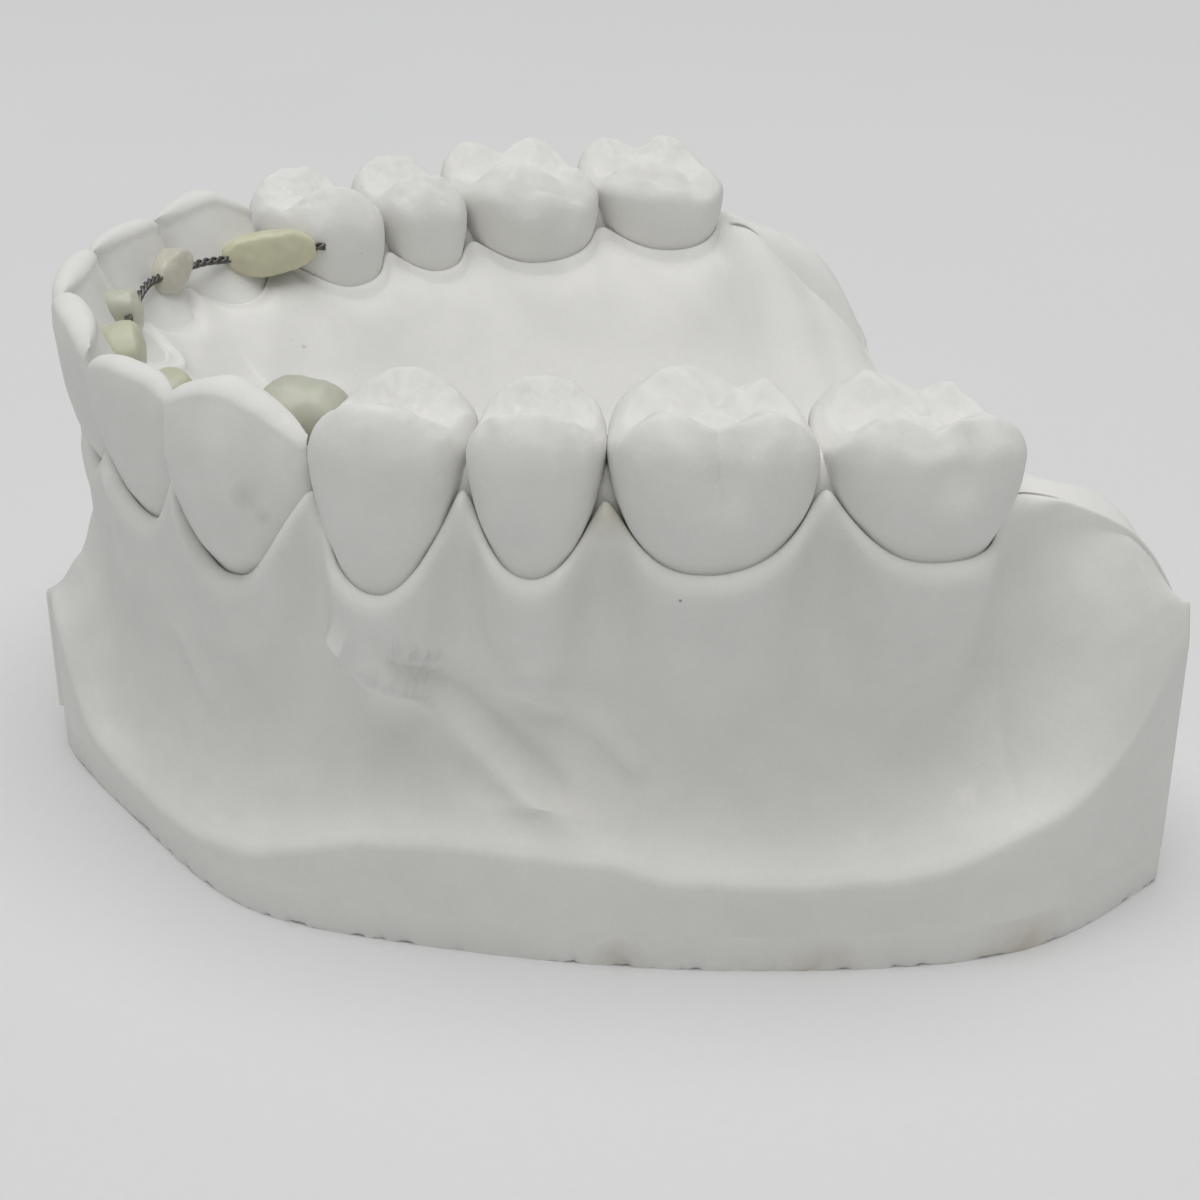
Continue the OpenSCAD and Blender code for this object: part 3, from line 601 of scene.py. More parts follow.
# Palate: share of the way to the midline, share of the way down
PALATE_FACE = [(0, 0), (0.05, 0.035), (0.1, 0.09), (0.2, 0.25), (0.32, 0.46), (0.46, 0.67),
               (0.62, 0.84), (0.8, 0.96), (1, 1)]
column_share = np.where(tail > 0, 42 + 7 * tail, 6 * (tooth_of + within)) / 49
# Midline: share of the way back, share of the way down
VAULT = [(0, 0), (0.08, 0.22), (0.18, 0.5), (0.3, 0.76), (0.42, 0.91), (0.55, 0.98), (0.7, 1), (1, 1.02)]
midline = np.column_stack([np.zeros(COLUMNS + 1),
                           blend(MIDLINE_Y + 9, REAR_Y, column_share ** 1.15),
                           blend(PALATE_NECK - 0.8, PALATE_FLOOR, bend(column_share, VAULT, 1))])
last_inner_row = sheet[-1]
for share in np.concatenate([[0.02, 0.045], np.linspace(0.075, 1, 30)]):
    loose = min(3.0, share * 12)
    settled = smooth(tail * 2.5)
    along_row = centre_line + outward * (softened(inner_edge, loose) - 0.75)[:, None]
    margin_xy = blend(along_row, last_inner_row[:, :2], settled[:, None])
    margin_z = blend(softened(last_inner_row[:, 2], loose), last_inner_row[:, 2], settled)
    fall = bend(np.full(1, share), PALATE_FACE, 1)[0]
    add_row(blend(margin_xy, midline[:, :2], share), blend(margin_z, midline[:, 2], fall), "palate")
half_sheet = np.stack(sheet, 1)
half_sheet[0, :, 0] = 0
half_sheet[-1, :, 1] = REAR_Y
half_sheet[:, -1, 0] = 0
ROWS = half_sheet.shape[1]
left_sheet = half_sheet[:0:-1] * np.array([-1, 1, 1])
gum_sheet = np.concatenate([left_sheet, half_sheet])

# Outward directions of the sheet, for raising folds and hollows on it
down_rows = np.gradient(gum_sheet, axis=1)
along_cols = np.gradient(gum_sheet, axis=0)
lift = np.cross(down_rows, along_cols)
lift /= np.linalg.norm(lift, axis=-1, keepdims=True) + 1e-9
lift *= np.sign(lift[:, -12:, 2].mean())
is_kind = {k: np.array([kind == k for kind in kinds]) for k in set(kinds)}
raise_by = np.zeros(gum_sheet.shape[:2])


def fold(points, width, height, ends):
    """A long soft ridge, or groove where height is negative, along points in space."""
    flat = gum_sheet.reshape(-1, 3)
    rough = np.array(points, float)
    knots = np.linspace(0, len(rough) - 1, 4 * len(rough))
    line = np.column_stack([np.interp(knots, np.arange(len(rough)), rough[:, axis]) for axis in range(3)])
    line = np.array([flat[np.argmin(np.linalg.norm(flat - spot, axis=1))] for spot in line])
    for _ in range(12):
        line[1:-1] = (line[:-2] + 2 * line[1:-1] + line[2:]) / 4
    line = line[np.concatenate([[True], np.linalg.norm(np.diff(line, axis=0), axis=1) > 1e-3])]
    best = np.full(len(flat), 1e9)
    travelled = np.zeros(len(flat))
    start = 0.0
    total = np.linalg.norm(np.diff(line, axis=0), axis=1).sum()
    for a, b in zip(line[:-1], line[1:]):
        length = np.linalg.norm(b - a)
        t = np.clip((flat - a) @ (b - a) / length ** 2, 0, 1)
        away = np.linalg.norm(flat - (a + t[:, None] * (b - a)), axis=1)
        closer = away < best
        best = np.where(closer, away, best)
        travelled = np.where(closer, start + t * length, travelled)
        start += length
    taper = smooth(travelled / ends) * smooth((total - travelled) / ends)
    return (height * np.exp(-(best / width) ** 2) * taper).reshape(gum_sheet.shape[:2])


# Each: points it runs along, width, height and length of the tapers at its ends
FOLDS = [
    # Cheek frenum on the right: two crisp folds, the crease between them and a broad cord below
    ([(22.4, -14.6, 17.4), (23.8, -12.9, 15.7), (24.9, -11.6, 14.1), (26.4, -8.7, 11.2),
      (27.8, -5.4, 8.6), (29.6, -1.9, 5.8)], 0.75, 0.85, 1.8),
    ([(24.1, -12.6, 16.1), (25.9, -9.5, 13.6), (27.5, -5.7, 10.7), (28.6, -3.3, 8.8)], 0.65, -0.6, 1.8),
    ([(24.4, -12.3, 16.0), (26.6, -7.8, 13.6), (27.6, -5.3, 12.8), (29.0, -2.0, 11.8),
      (29.8, 0.4, 9.4)], 0.7, 0.65, 2.0),
    ([(22.5, -14.4, 15.8), (24.0, -12.6, 13.7), (25.5, -10.6, 11.6)], 0.6, 0.35, 2.5),
    ([(25.6, -9.8, 12.6), (27.9, -5.2, 8.9), (30.2, -1.2, 5.5)], 2.4, 0.55, 4.0),
    # The same cord on the left, simpler
    ([(-22.6, -14.4, 17.0), (-25.0, -11.4, 14.0), (-27.6, -6.0, 9.0), (-29.8, -1.4, 5.6)], 1.1, 0.7, 3.0),
    ([(-24.3, -12.2, 16.0), (-26.8, -7.4, 12.4), (-29.2, -2.0, 10.0)], 0.8, 0.4, 3.0),
    # Faint muscle lines below the first premolar and the second molar
    ([(26.2, -8.4, 18.3), (26.7, -7.4, 15.3)], 0.5, 0.22, 1.5),
    ([(31.2, 10.0, 16.8), (31.8, 13.2, 14.0)], 0.5, 0.28, 1.5),
    # Lip frenum at the midline
    ([(0, -27.6, 9.4), (0.1, -26.6, 12.0), (0.1, -25.6, 15.4)], 1.3, 0.55, 2.5),
    # The papilla behind the central incisors and the midline raphe
    ([(0, -17.4, 21.0), (0, -15.9, 20.3), (0, -14.4, 19.6)], 1.6, 0.5, 1.6),
    ([(0, -13.0, 18.6), (0, -2.0, 12.0), (0, 20.0, 8.4)], 1.6, 0.14, 4.0)]
# On both sides: two swellings beside the lip frenum, then three rugae
PAIRED_FOLDS = [
    ([(6.4, -24.6, 18.0), (8.9, -24.0, 14.6), (10.6, -23.6, 11.0)], 0.8, 0.3, 3.0),
    ([(12.4, -21.9, 13.6), (16.8, -20.2, 8.1)], 0.8, 0.3, 2.5),
    ([(1.6, -13.8, 18.4), (5.0, -14.8, 18.2), (9.0, -13.4, 18.6)], 0.9, 0.5, 2.0),
    ([(1.8, -11.2, 16.8), (6.0, -12.0, 16.6), (11.0, -9.0, 17.0)], 0.9, 0.45, 2.0),
    ([(2.0, -8.4, 15.4), (7.0, -8.6, 14.8), (12.6, -5.2, 15.6)], 0.9, 0.35, 2.0)]
for side in (-1, 1):
    FOLDS += [([(side * x, y, z) for x, y, z in run], *rest) for run, *rest in PAIRED_FOLDS]
for run, wide, high, ends in FOLDS:
    raise_by += fold(run, wide, high, ends)

# Root swellings under the teeth on the outer face, hollows between them
JUGA = [0.15, 0.15, 0.5, 0.3, 0.15, 0.1, 0.1]
both_s = np.concatenate([column_s[:0:-1], column_s])
below_edge = np.concatenate([lip_z[:0:-1], lip_z])[:, None] - gum_sheet[:, :, 2]
for i, size in enumerate(JUGA):
    middle_s = (CONTACTS[i] + CONTACTS[i + 1]) / 2
    for at, gain, wide in ((middle_s, size, 0.3), (CONTACTS[i + 1], -0.12, 0.16)):
        span = (CONTACTS[i + 1] - CONTACTS[i]) * wide
        swell = gain * np.exp(-((both_s - at) / span) ** 2)
        fade = np.exp(-((below_edge - 3.2) / 3.0) ** 2)
        fade[:, ~is_kind["outer"]] = 0
        raise_by += swell[:, None] * fade
flat_points = gum_sheet.reshape(-1, 3)
unevenness = (ripple(flat_points, 6.0) * 0.14 + ripple(flat_points, 1.8) * 0.035).reshape(raise_by.shape)
FREE_TO_MOVE = {"rim": 0, "outer": 1, "roll": 0.35, "crest": 0, "inner": 0.35, "palate": 1}
raise_by = (raise_by + unevenness) * np.array([FREE_TO_MOVE[kind] for kind in kinds])[None, :]
raise_by *= np.clip((np.arange(ROWS) - 2) / 6, 0, 1)[None, :]
raise_by[[0, -1]] = 0
gum_sheet = gum_sheet + lift * raise_by[..., None]
gum_sheet[:, -1, 0] = 0
gum_sheet[:, -1] = (gum_sheet[:, -1] + gum_sheet[::-1, -1]) / 2
gum_sheet[[0, -1], :, 1] = REAR_Y
# The rim wavers a little, as a trimmed edge does
waver = ripple(gum_sheet[:, 0], 5.0) * 0.25
fade_back = (1 - np.concatenate([tail[:0:-1], tail])) * (np.abs(both_s) > 4)
for row in range(2, 6):
    gum_sheet[:, row, 2] += waver * fade_back * (1 - (row - 2) / 4)
gum_sheet[:, 0, 2] += waver * fade_back
gum_sheet[:, 1, 2] += waver * fade_back

COLS = gum_sheet.shape[0]
points = gum_sheet.reshape(-1, 3)
faces = []
for c in range(COLS - 1):
    for r in range(ROWS - 1):
        a = c * ROWS + r
        faces.append((a, a + ROWS, a + ROWS + 1, a + 1))
edge = [c * ROWS for c in range(COLS)]
edge += [(COLS - 1) * ROWS + r for r in range(1, ROWS)]
edge += [r for r in range(ROWS - 2, 0, -1)]
edge_points = points[edge]
wall_rings = []
for share in (0.3, 0.65, 1.0):
    ring = edge_points.copy()
    ring[:, 2] = blend(edge_points[:, 2], SLAB_HEIGHT, share)
    wall_rings.append(ring)
start = len(points)
around = len(edge)
points = np.vstack([points] + wall_rings + [[[0, HUB_Y, SLAB_HEIGHT]]])
rings = [edge] + [[start + level * around + k for k in range(around)] for level in range(3)]
for upper, lower in zip(rings[:-1], rings[1:]):
    for k in range(around):
        after = (k + 1) % around
        faces.append((upper[k], lower[k], lower[after], upper[after]))
for k in range(around):
    faces.append((rings[-1][k], len(points) - 1, rings[-1][(k + 1) % around]))
gums = make_piece("cast_gums_and_palate", points, faces, 55)
plaster("cast_plaster", 2.0, PALE, GREYER,
        spots=[(30.7, 4.5, 14.0, 0.2), (8.3, -24.8, 5.4, 0.14), (13.3, -22.9, 4.1, 0.14),
               (29.9, 1.5, 19.4, 0.1), (27.6, -5.8, 10.7, 0.22)],
        stains=[(23.0, -13.9, 22.6, 1.4, (0.6, 0.57, 0.42, 1)), (27.4, -1.2, 22.6, 1.6, (0.6, 0.56, 0.4, 1)),
                (29.0, -3.6, 9.4, 3.0, (0.66, 0.65, 0.56, 1))]).wear(gums)
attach(gums, "root")
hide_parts("gum_and_palate")


# ---------------------------------------------------------------------------------------
# Front teeth. Plaster crowns of the incisors and canines, cast with the gums: flat-faced,
# with rounded biting edges, hollowed behind between two ridges, and a swelling at the neck.
AROUND = 96
HIGHEST = cad_box[1][2] * 1000 - 0.05
SOFT_TOP = 0.08
# Share of a front crown's height that rounds over to its biting edge
EDGE_CAP = 0.075
round_turn = -2 * math.pi * np.arange(AROUND) / AROUND


def under_top(z):
    """Heights eased off where they would pass the highest place of the cast."""
    return z - SOFT_TOP * np.log1p(np.exp((z - HIGHEST) / SOFT_TOP))


def rounded(angle, form):
    c, s = np.cos(angle), np.sin(angle)
    return np.stack([np.sign(c) * np.abs(c) ** (2 / form), np.sign(s) * np.abs(s) ** (2 / form)], -1)


def close_rings(name, rings, crease=50, zipped=False):
    """A piece from a stack of closed rings, with a point at each end, or zipped shut on top."""
    n = len(rings[0])
    faces = []
    for r in range(len(rings) - 1):
        for k in range(n):
            a, b = r * n + k, r * n + (k + 1) % n
            faces.append((a, a + n, b + n, b))
    stack = np.vstack(rings + [[rings[0].mean(0)], [rings[-1].mean(0)]])
    last = (len(rings) - 1) * n
    for k in range(n):
        faces.append((last + n, k, (k + 1) % n))
        if not zipped:
            faces.append((last + n + 1, last + (k + 1) % n, last + k))
    if zipped:
        stack = stack[:-1]
    return make_piece(name, stack, faces, crease)


def settle(seat, x, y, z, side):
    """From a tooth's own directions to its place on the cast, right side 1 or left -1."""
    flat = seat.middle + x[:, None] * seat.along + y[:, None] * seat.out
    spots = np.column_stack([flat[:, 0] * side, flat[:, 1], z])
    lumps = np.column_stack([ripple(spots + axis * 20, 1.6) for axis in range(3)]) * 0.035
    return spots + lumps


def front_tooth(i, side, name):
    seat = SEATS[i]
    canine = i == 2
    table = CANINE_SIDE if canine else INCISOR_SIDE
    scale = seat.depth / FRONT_DESIGN[i]
    q0, q1 = rounded(round_turn, FRONT_FORM).T
    levels = [(t, 0.0) for t in np.linspace(-0.4, 1 - EDGE_CAP, 46)]
    levels += [(1 - EDGE_CAP, turn) for turn in np.radians(np.linspace(0, 90, 9))[1:]]
    rings = []
    for t, cap_turn in levels:
        width = bend(np.array([t]), table, 1)[0]
        lip = bend(np.array([t]), table, 2)[0] * scale
        palate = bend(np.array([t]), table, 3)[0] * scale
        centre = blend(lip, palate, WIDEST)
        narrow = 1 - FRONT_TAPER * np.maximum(0, -q1) * math.cos(cap_turn)
        share_x = q0 * width * narrow * (1 - 0.04 * (1 - math.cos(cap_turn)))
        y = np.where(q1 > 0, blend(centre, lip, np.abs(q1)), blend(centre, palate, np.abs(q1)))
        behind_face = smooth(-q1 * 1.6)
        ahead_face = smooth(q1 * 1.6)
        # Hollow behind, between the side ridges and above the swelling at the neck
        level = math.exp(-((t - 0.58) / 0.24) ** 2)
        y = y + behind_face * level * 0.55 * np.exp(-(share_x / 0.5) ** 2)
        y = y - behind_face * 0.35 * math.exp(-((t - 0.2) / 0.14) ** 2) * np.exp(-(share_x / 0.3) ** 2)
        y = y - behind_face * level * 0.28 * np.exp(-((np.abs(share_x) - 0.78) / 0.16) ** 2)
        # Face: a middle ridge on the canine, two shallow furrows on all
        face = math.exp(-((t - 0.6) / 0.35) ** 2)
        ridge, furrows = (0.22, 0.16) if canine else (0.03, 0.09)
        y = y + ahead_face * face * ridge * np.exp(-((share_x + 0.08) / 0.28) ** 2)
        y = y - ahead_face * face * furrows * np.exp(-((np.abs(share_x) - 0.45) / 0.16) ** 2)
        middle = (lip + palate) / 2
        y = middle + (y - middle) * math.cos(cap_turn)
        if canine:
            lean = blend(1.5, 2.4, smooth((share_x + 0.4) / 0.6))
            fall = lean * (np.sqrt((share_x + 0.1) ** 2 + 0.05) - 0.224) + 0.5 * np.abs(share_x) ** 6
        else:
            fall = 0.35 * share_x ** 2 + 0.9 * np.abs(share_x) ** 5 + 0.2 * np.maximum(0, share_x) ** 2
        top = TIPS[side][i] - fall
        share_z = t + EDGE_CAP * math.sin(cap_turn)
        z = seat.neck + share_z * (top - seat.neck)
        rings.append(settle(seat, share_x * seat.width / 2, y, under_top(z), side))
    return close_rings(name, rings, zipped=True)


front_plaster = plaster("tooth_plaster_front", 5.0, PALE, GREYER,
                        spots=[(19.6, -16.5, 25.2, 0.16), (21.2, -14.9, 25.3, 0.1)],
                        stains=[(19.6, -17.0, 21.9, 1.0, (0.45, 0.44, 0.38, 1)),
                                (19.9, -16.4, 20.9, 0.6, (0.45, 0.44, 0.38, 1))])
FRONT_NAMES = ["central_incisor", "lateral_incisor", "canine"]
for side, hand in ((1, "right"), (-1, "left")):
    for i, tooth in enumerate(FRONT_NAMES):
        crown = front_tooth(i, side, "plaster_" + hand + "_" + tooth)
        front_plaster.wear(crown)
        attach(crown, "root")
        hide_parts(hand + "_" + tooth)


# ---------------------------------------------------------------------------------------
# Back teeth. Plaster crowns of the premolars and molars: rounded cheek faces, blunt cusps
# with a groove pattern between them, ridges at both ends, and a furrow down the molars' cheek
# side. They are cast with the gums too.
# Cusps: place along and across in half widths, height from the tip, slopes along and across
PREMOLAR_CUSPS = [(-0.02, 0.72, 0.25, 0.42, 0.75), (-0.06, -0.52, 0.0, 0.5, 0.75)]
MOLAR_CUSPS = [(-0.5, 0.74, 0.4, 0.62, 0.7), (0.46, 0.73, 0.3, 0.62, 0.7),
               (-0.3, -0.54, 0.1, 0.5, 0.66), (0.55, -0.56, -0.6, 0.65, 0.75)]
END_RIDGE = -1.25
DOME = 5.6
DOME_START = 3.3
FURROW_DEPTH = 0.95


def chewing_face(i, seat, x, y):
    """Height of the chewing surface against the tip, places in half widths."""
    w, d = seat.width / 2, seat.depth / 2
    cusps = PREMOLAR_CUSPS if i < 5 else MOLAR_CUSPS
    hills = []
    for n, (cx, cy, top, along, across) in enumerate(cusps):
        dx, dy = (x - cx) * w, (y - cy) * d
        away = np.hypot(dx, dy)
        slope = np.sqrt((along * dx) ** 2 + (across * dy) ** 2 + 0.08) - 0.28
        reach = smooth(away / 1.6) * smooth((3.2 - away) / 1.6)
        ridges = 0.16 * np.cos(4 * np.arctan2(dy, dx) + n) * reach
        hills.append(top - slope + ridges)
    for end in (-1, 1):
        slope = np.sqrt(((x - end * 0.8) * w * 0.9) ** 2 + (y * d * 0.16) ** 2 + 0.05) - 0.22
        hills.append(END_RIDGE - slope)
    # The molars' slanting ridge between two of the cusps
    if i > 4:
        a, b = np.array([-0.3 * w, -0.52 * d]), np.array([0.42 * w, 0.52 * d])
        px, py = x * w - a[0], y * d - a[1]
        t = np.clip((px * (b - a)[0] + py * (b - a)[1]) / ((b - a) @ (b - a)), 0, 1)
        away = np.hypot(px - t * (b - a)[0], py - t * (b - a)[1])
        hills.append(-1.15 - 0.8 * np.sqrt(away ** 2 + 0.06) + 0.2)
    sharp = 0.16
    return sharp * np.log(sum(np.exp(h / sharp) for h in hills))


def back_tooth(i, side, name):
    seat = SEATS[i]
    outline = rounded(round_turn, BACK_FORM)
    narrow = 1 - BACK_TAPER * np.maximum(0, -outline[:, 1])
    unit = outline * np.column_stack([narrow, np.ones(AROUND)])
    rings = []
    for h in np.linspace(BACK_DEPTH[0][0], DOME_START, 26)[:-1]:
        y = unit[:, 1] * bend(np.array([h]), BACK_DEPTH, 1)[0]
        rings.append((unit[:, 0], y, np.full(AROUND, seat.neck + h), 1.0))
    for share in np.sin(np.radians(np.linspace(90, 2, 54))):
        x, y = unit[:, 0] * share, unit[:, 1] * share
        top = TIPS[side][i] + chewing_face(i, seat, x, y)
        low = seat.neck + DOME_START
        places = np.column_stack([x * 4 + side * 9, y * 4 + i * 5, np.zeros(AROUND)])
        bumps = ripple(places, 0.9) * 0.13
        z = low + (top + bumps - low) * (1 - share ** DOME) ** (1 / DOME)
        rings.append((x, y, z, share))
    placed = []
    widths = PREMOLAR_WIDTH if i < 5 else MOLAR_WIDTH
    for x, y, z, share in rings:
        outer_part = smooth((share - 0.5) / 0.4)
        height_share = np.clip((z - seat.neck) / (seat.tip - seat.neck), 0, 1)
        cheek = smooth(y * 2 - 0.2) * outer_part
        shift = np.zeros(AROUND)
        if i > 4:
            middle = 0.02 if i == 5 else 0.12
            furrow = np.exp(-((x - middle) * seat.width / 2 / 0.8) ** 2)
            shift -= cheek * furrow * smooth((height_share - 0.3) / 0.4) * FURROW_DEPTH
            swell = np.exp(-((height_share - 0.45) / 0.3) ** 2)
            shift += cheek * swell * 0.18 * np.exp(-((x + 0.45) / 0.25) ** 2)
            shift += cheek * swell * 0.12 * np.exp(-((x - 0.48) / 0.22) ** 2)
            tongue = smooth(-y * 2 - 0.2) * outer_part
            furrow = np.exp(-((x - 0.3) * seat.width / 2 / 0.7) ** 2)
            shift += tongue * furrow * smooth((height_share - 0.35) / 0.4) * 0.4
            if i == 5:
                fold_back = np.exp(-((x + 0.35) / 0.22) ** 2 - ((height_share - 0.55) / 0.12) ** 2)
                shift -= tongue * fold_back * 0.3
        else:
            ridge = np.exp(-((x + 0.02) / 0.3) ** 2) * smooth((height_share - 0.15) / 0.4)
            shift += cheek * ridge * 0.22
            hollow = np.exp(-((np.abs(x) - 0.62) / 0.16) ** 2) * smooth((height_share - 0.35) / 0.4)
            shift -= cheek * hollow * 0.14
        px = x * seat.width / 2 * bend((z - seat.neck) / (seat.tip - seat.neck), widths, 1)
        py = y * seat.depth / 2 - CONTACT_INSET * seat.depth + shift
        placed.append(settle(seat, px, py, under_top(z), side))
    return close_rings(name, placed)


back_plaster = plaster("tooth_plaster_back", 8.0, PALE, GREYER,
                       spots=[(30.5, 10.9, 25.0, 0.14), (27.4, -4.3, 24.3, 0.08)],
                       stains=[(28.6, 17.6, 25.4, 1.0, (0.5, 0.49, 0.44, 1)),
                               (26.6, -7.9, 23.6, 1.3, (0.66, 0.63, 0.5, 1))])
BACK_NAMES = ["first_premolar", "second_premolar", "first_molar", "second_molar"]
for side, hand in ((1, "right"), (-1, "left")):
    for i, tooth in enumerate(BACK_NAMES):
        crown = back_tooth(i + 3, side, "plaster_" + hand + "_" + tooth)
        back_plaster.wear(crown)
        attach(crown, "root")
        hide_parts(hand + "_" + tooth)


# ---------------------------------------------------------------------------------------
# Retainer wire. Three fine stainless strands twisted into one, bent by hand to follow the
# palate faces of the six front teeth, with a short bare end past each canine's pad.
STRAND_D = 0.22
TWIST_PITCH = 1.9
WIRE_HEIGHT = 24.3
WIRE_TAIL = 1.3
WIRE_GAP = 0.12
STRAND_GAP = 0.012
PAD_LENGTH = 4.9
STRAND_LEAN = math.atan(math.pi * STRAND_D / math.cos(math.radians(30)) / TWIST_PITCH)
HELIX_R = STRAND_D / 2 / math.cos(math.radians(30)) / math.cos(STRAND_LEAN) + STRAND_GAP
BUNDLE_R = HELIX_R + STRAND_D / 2
CANINE_PAD_SHARE = 0.7
PREMOLAR_SPARE = 0.35
CANINE_PAD_S = (sum(SHARES[:2]) + CANINE_PAD_SHARE * SHARES[2]) * ROW_SCALE
WIRE_END = CANINE_PAD_S + PAD_LENGTH / 2 + WIRE_TAIL
wire_middles = []
wire_depths = []
for i in range(3):
    seat = SEATS[i]
    table = CANINE_SIDE if i == 2 else INCISOR_SIDE
    middle_s = (CONTACTS[i] + CONTACTS[i + 1]) / 2
    t = (WIRE_HEIGHT - seat.neck) / (seat.tip - seat.neck)
    behind = -bend(np.array([t]), table, 3)[0] * seat.depth / FRONT_DESIGN[i]
    bow = np.linalg.norm(row_at(middle_s) - seat.middle)
    wire_middles.append(middle_s)
    wire_depths.append(behind + bow + BUNDLE_R + WIRE_GAP)
# Past the canine the wire moves over to the first premolar's palate side
middle_s = (CONTACTS[3] + CONTACTS[4]) / 2
bow = np.linalg.norm(row_at(middle_s) - SEATS[3].middle)
premolar_clear = (0.5 + CONTACT_INSET) * SEATS[3].depth + bow + BUNDLE_R + WIRE_GAP + PREMOLAR_SPARE
wire_middles += [CONTACTS[3], middle_s]
wire_depths += [blend(wire_depths[2], premolar_clear, 0.6), premolar_clear]


def wire_at(s):
    """The wire's path by signed length from the midline, positive to the right."""
    s = np.asarray(s, float)
    away = np.abs(s)
    spot = row_at(away) - row_out(away) * np.interp(away, wire_middles, wire_depths)[..., None]
    return np.stack([np.sign(s) * spot[..., 0], spot[..., 1], np.full(s.shape, WIRE_HEIGHT)], -1)


wire_s = np.linspace(-WIRE_END, WIRE_END, 241)
wire_path = wire_at(wire_s)
for _ in range(6):
    wire_path[1:-1] = (wire_path[:-2] + 2 * wire_path[1:-1] + wire_path[2:]) / 4
# Hand bending leaves small steps up and down between the pads
wire_path[:, 2] += 0.16 * np.sin(wire_s * 0.42 + 0.8) - 0.1 * np.cos(wire_s * 0.9)


def on_wire(s):
    return np.array([np.interp(s, wire_s, wire_path[:, axis]) for axis in range(3)])


steel = Finish("twisted_steel")
place = steel.place()
tarnish = steel.uneven(place, 0.8, 3.0, 0.6, 4.0)
scratch = steel.uneven(place, 0.09, 2.0, 0.5, 6.0)
tone = (tarnish - 0.2 + (scratch - 0.5) * 0.6).limited()
steel.surface({"Base Color": steel.mixed(tone, (0.075, 0.07, 0.062, 1), (0.3, 0.29, 0.27, 1)),
               "Metallic": 0.9, "Roughness": 0.42 + (tarnish - 0.5) * 0.3,
               "Normal": steel.bump(0.3, 0.02 * MM, scratch)})


def twist_tree():
    """Turns a path into one strand of a twisted wire."""
    tree = bpy.data.node_groups.new("twisted_strand", "GeometryNodeTree")
    face = tree.interface
    face.new_socket("Path", in_out="INPUT", socket_type="NodeSocketGeometry")
    for name in ("Pitch", "Twist Radius", "Strand Radius", "Phase"):
        face.new_socket(name, in_out="INPUT", socket_type="NodeSocketFloat")
    face.new_socket("Finish", in_out="INPUT", socket_type="NodeSocketMaterial")
    face.new_socket("Strand", in_out="OUTPUT", socket_type="NodeSocketGeometry")
    nodes, links = tree.nodes, tree.links

    def add(kind, settings, sockets):
        made = nodes.new(kind)
        for key, value in settings.items():
            setattr(made, key, value)
        for key, value in sockets.items():
            if isinstance(value, bpy.types.NodeSocket):
                links.new(value, made.inputs[key])
            else:
                made.inputs[key].default_value = value
        return made

    def maths(operation, sockets):
        return add("ShaderNodeMath", {"operation": operation}, sockets).outputs[0]

    def vector(operation, sockets):
        return add("ShaderNodeVectorMath", {"operation": operation}, sockets).outputs[0]

    given = add("NodeGroupInput", {}, {}).outputs
    fine = add("GeometryNodeResampleCurve", {}, {"Curve": given["Path"], "Count": 700})
    length = add("GeometryNodeSplineParameter", {}, {}).outputs["Length"]
    tangent = add("GeometryNodeInputTangent", {}, {}).outputs["Tangent"]
    turns = maths("DIVIDE", {0: length, 1: given["Pitch"]})
    turns = maths("ADD", {0: turns, 1: given["Phase"]})
    angle = maths("MULTIPLY", {0: turns, 1: 2 * math.pi})
    east = maths("COSINE", {0: angle})
    up = maths("SINE", {0: angle})
    sideways = vector("CROSS_PRODUCT", {0: tangent, 1: (0, 0, 1)})
    sideways = vector("NORMALIZE", {0: sideways})
    level = vector("SCALE", {0: sideways, "Scale": east})
    rise = add("ShaderNodeCombineXYZ", {}, {"Z": up}).outputs[0]
    round_it = vector("ADD", {0: level, 1: rise})
    offset = vector("SCALE", {0: round_it, "Scale": given["Twist Radius"]})
    coiled = add("GeometryNodeSetPosition", {}, {"Geometry": fine.outputs[0], "Offset": offset})
    ring = add("GeometryNodeCurvePrimitiveCircle", {}, {"Resolution": 10, "Radius": given["Strand Radius"]})
    tube = add("GeometryNodeCurveToMesh", {}, {"Curve": coiled.outputs[0], "Profile Curve": ring.outputs[0],
                                               "Fill Caps": True})
    real = add("GeometryNodeRealizeInstances", {}, {"Geometry": tube.outputs[0]})
    done = add("GeometryNodeSetMaterial", {}, {"Geometry": real.outputs[0], "Material": given["Finish"]})
    links.new(done.outputs[0], add("NodeGroupOutput", {}, {}).inputs[0])
    return tree


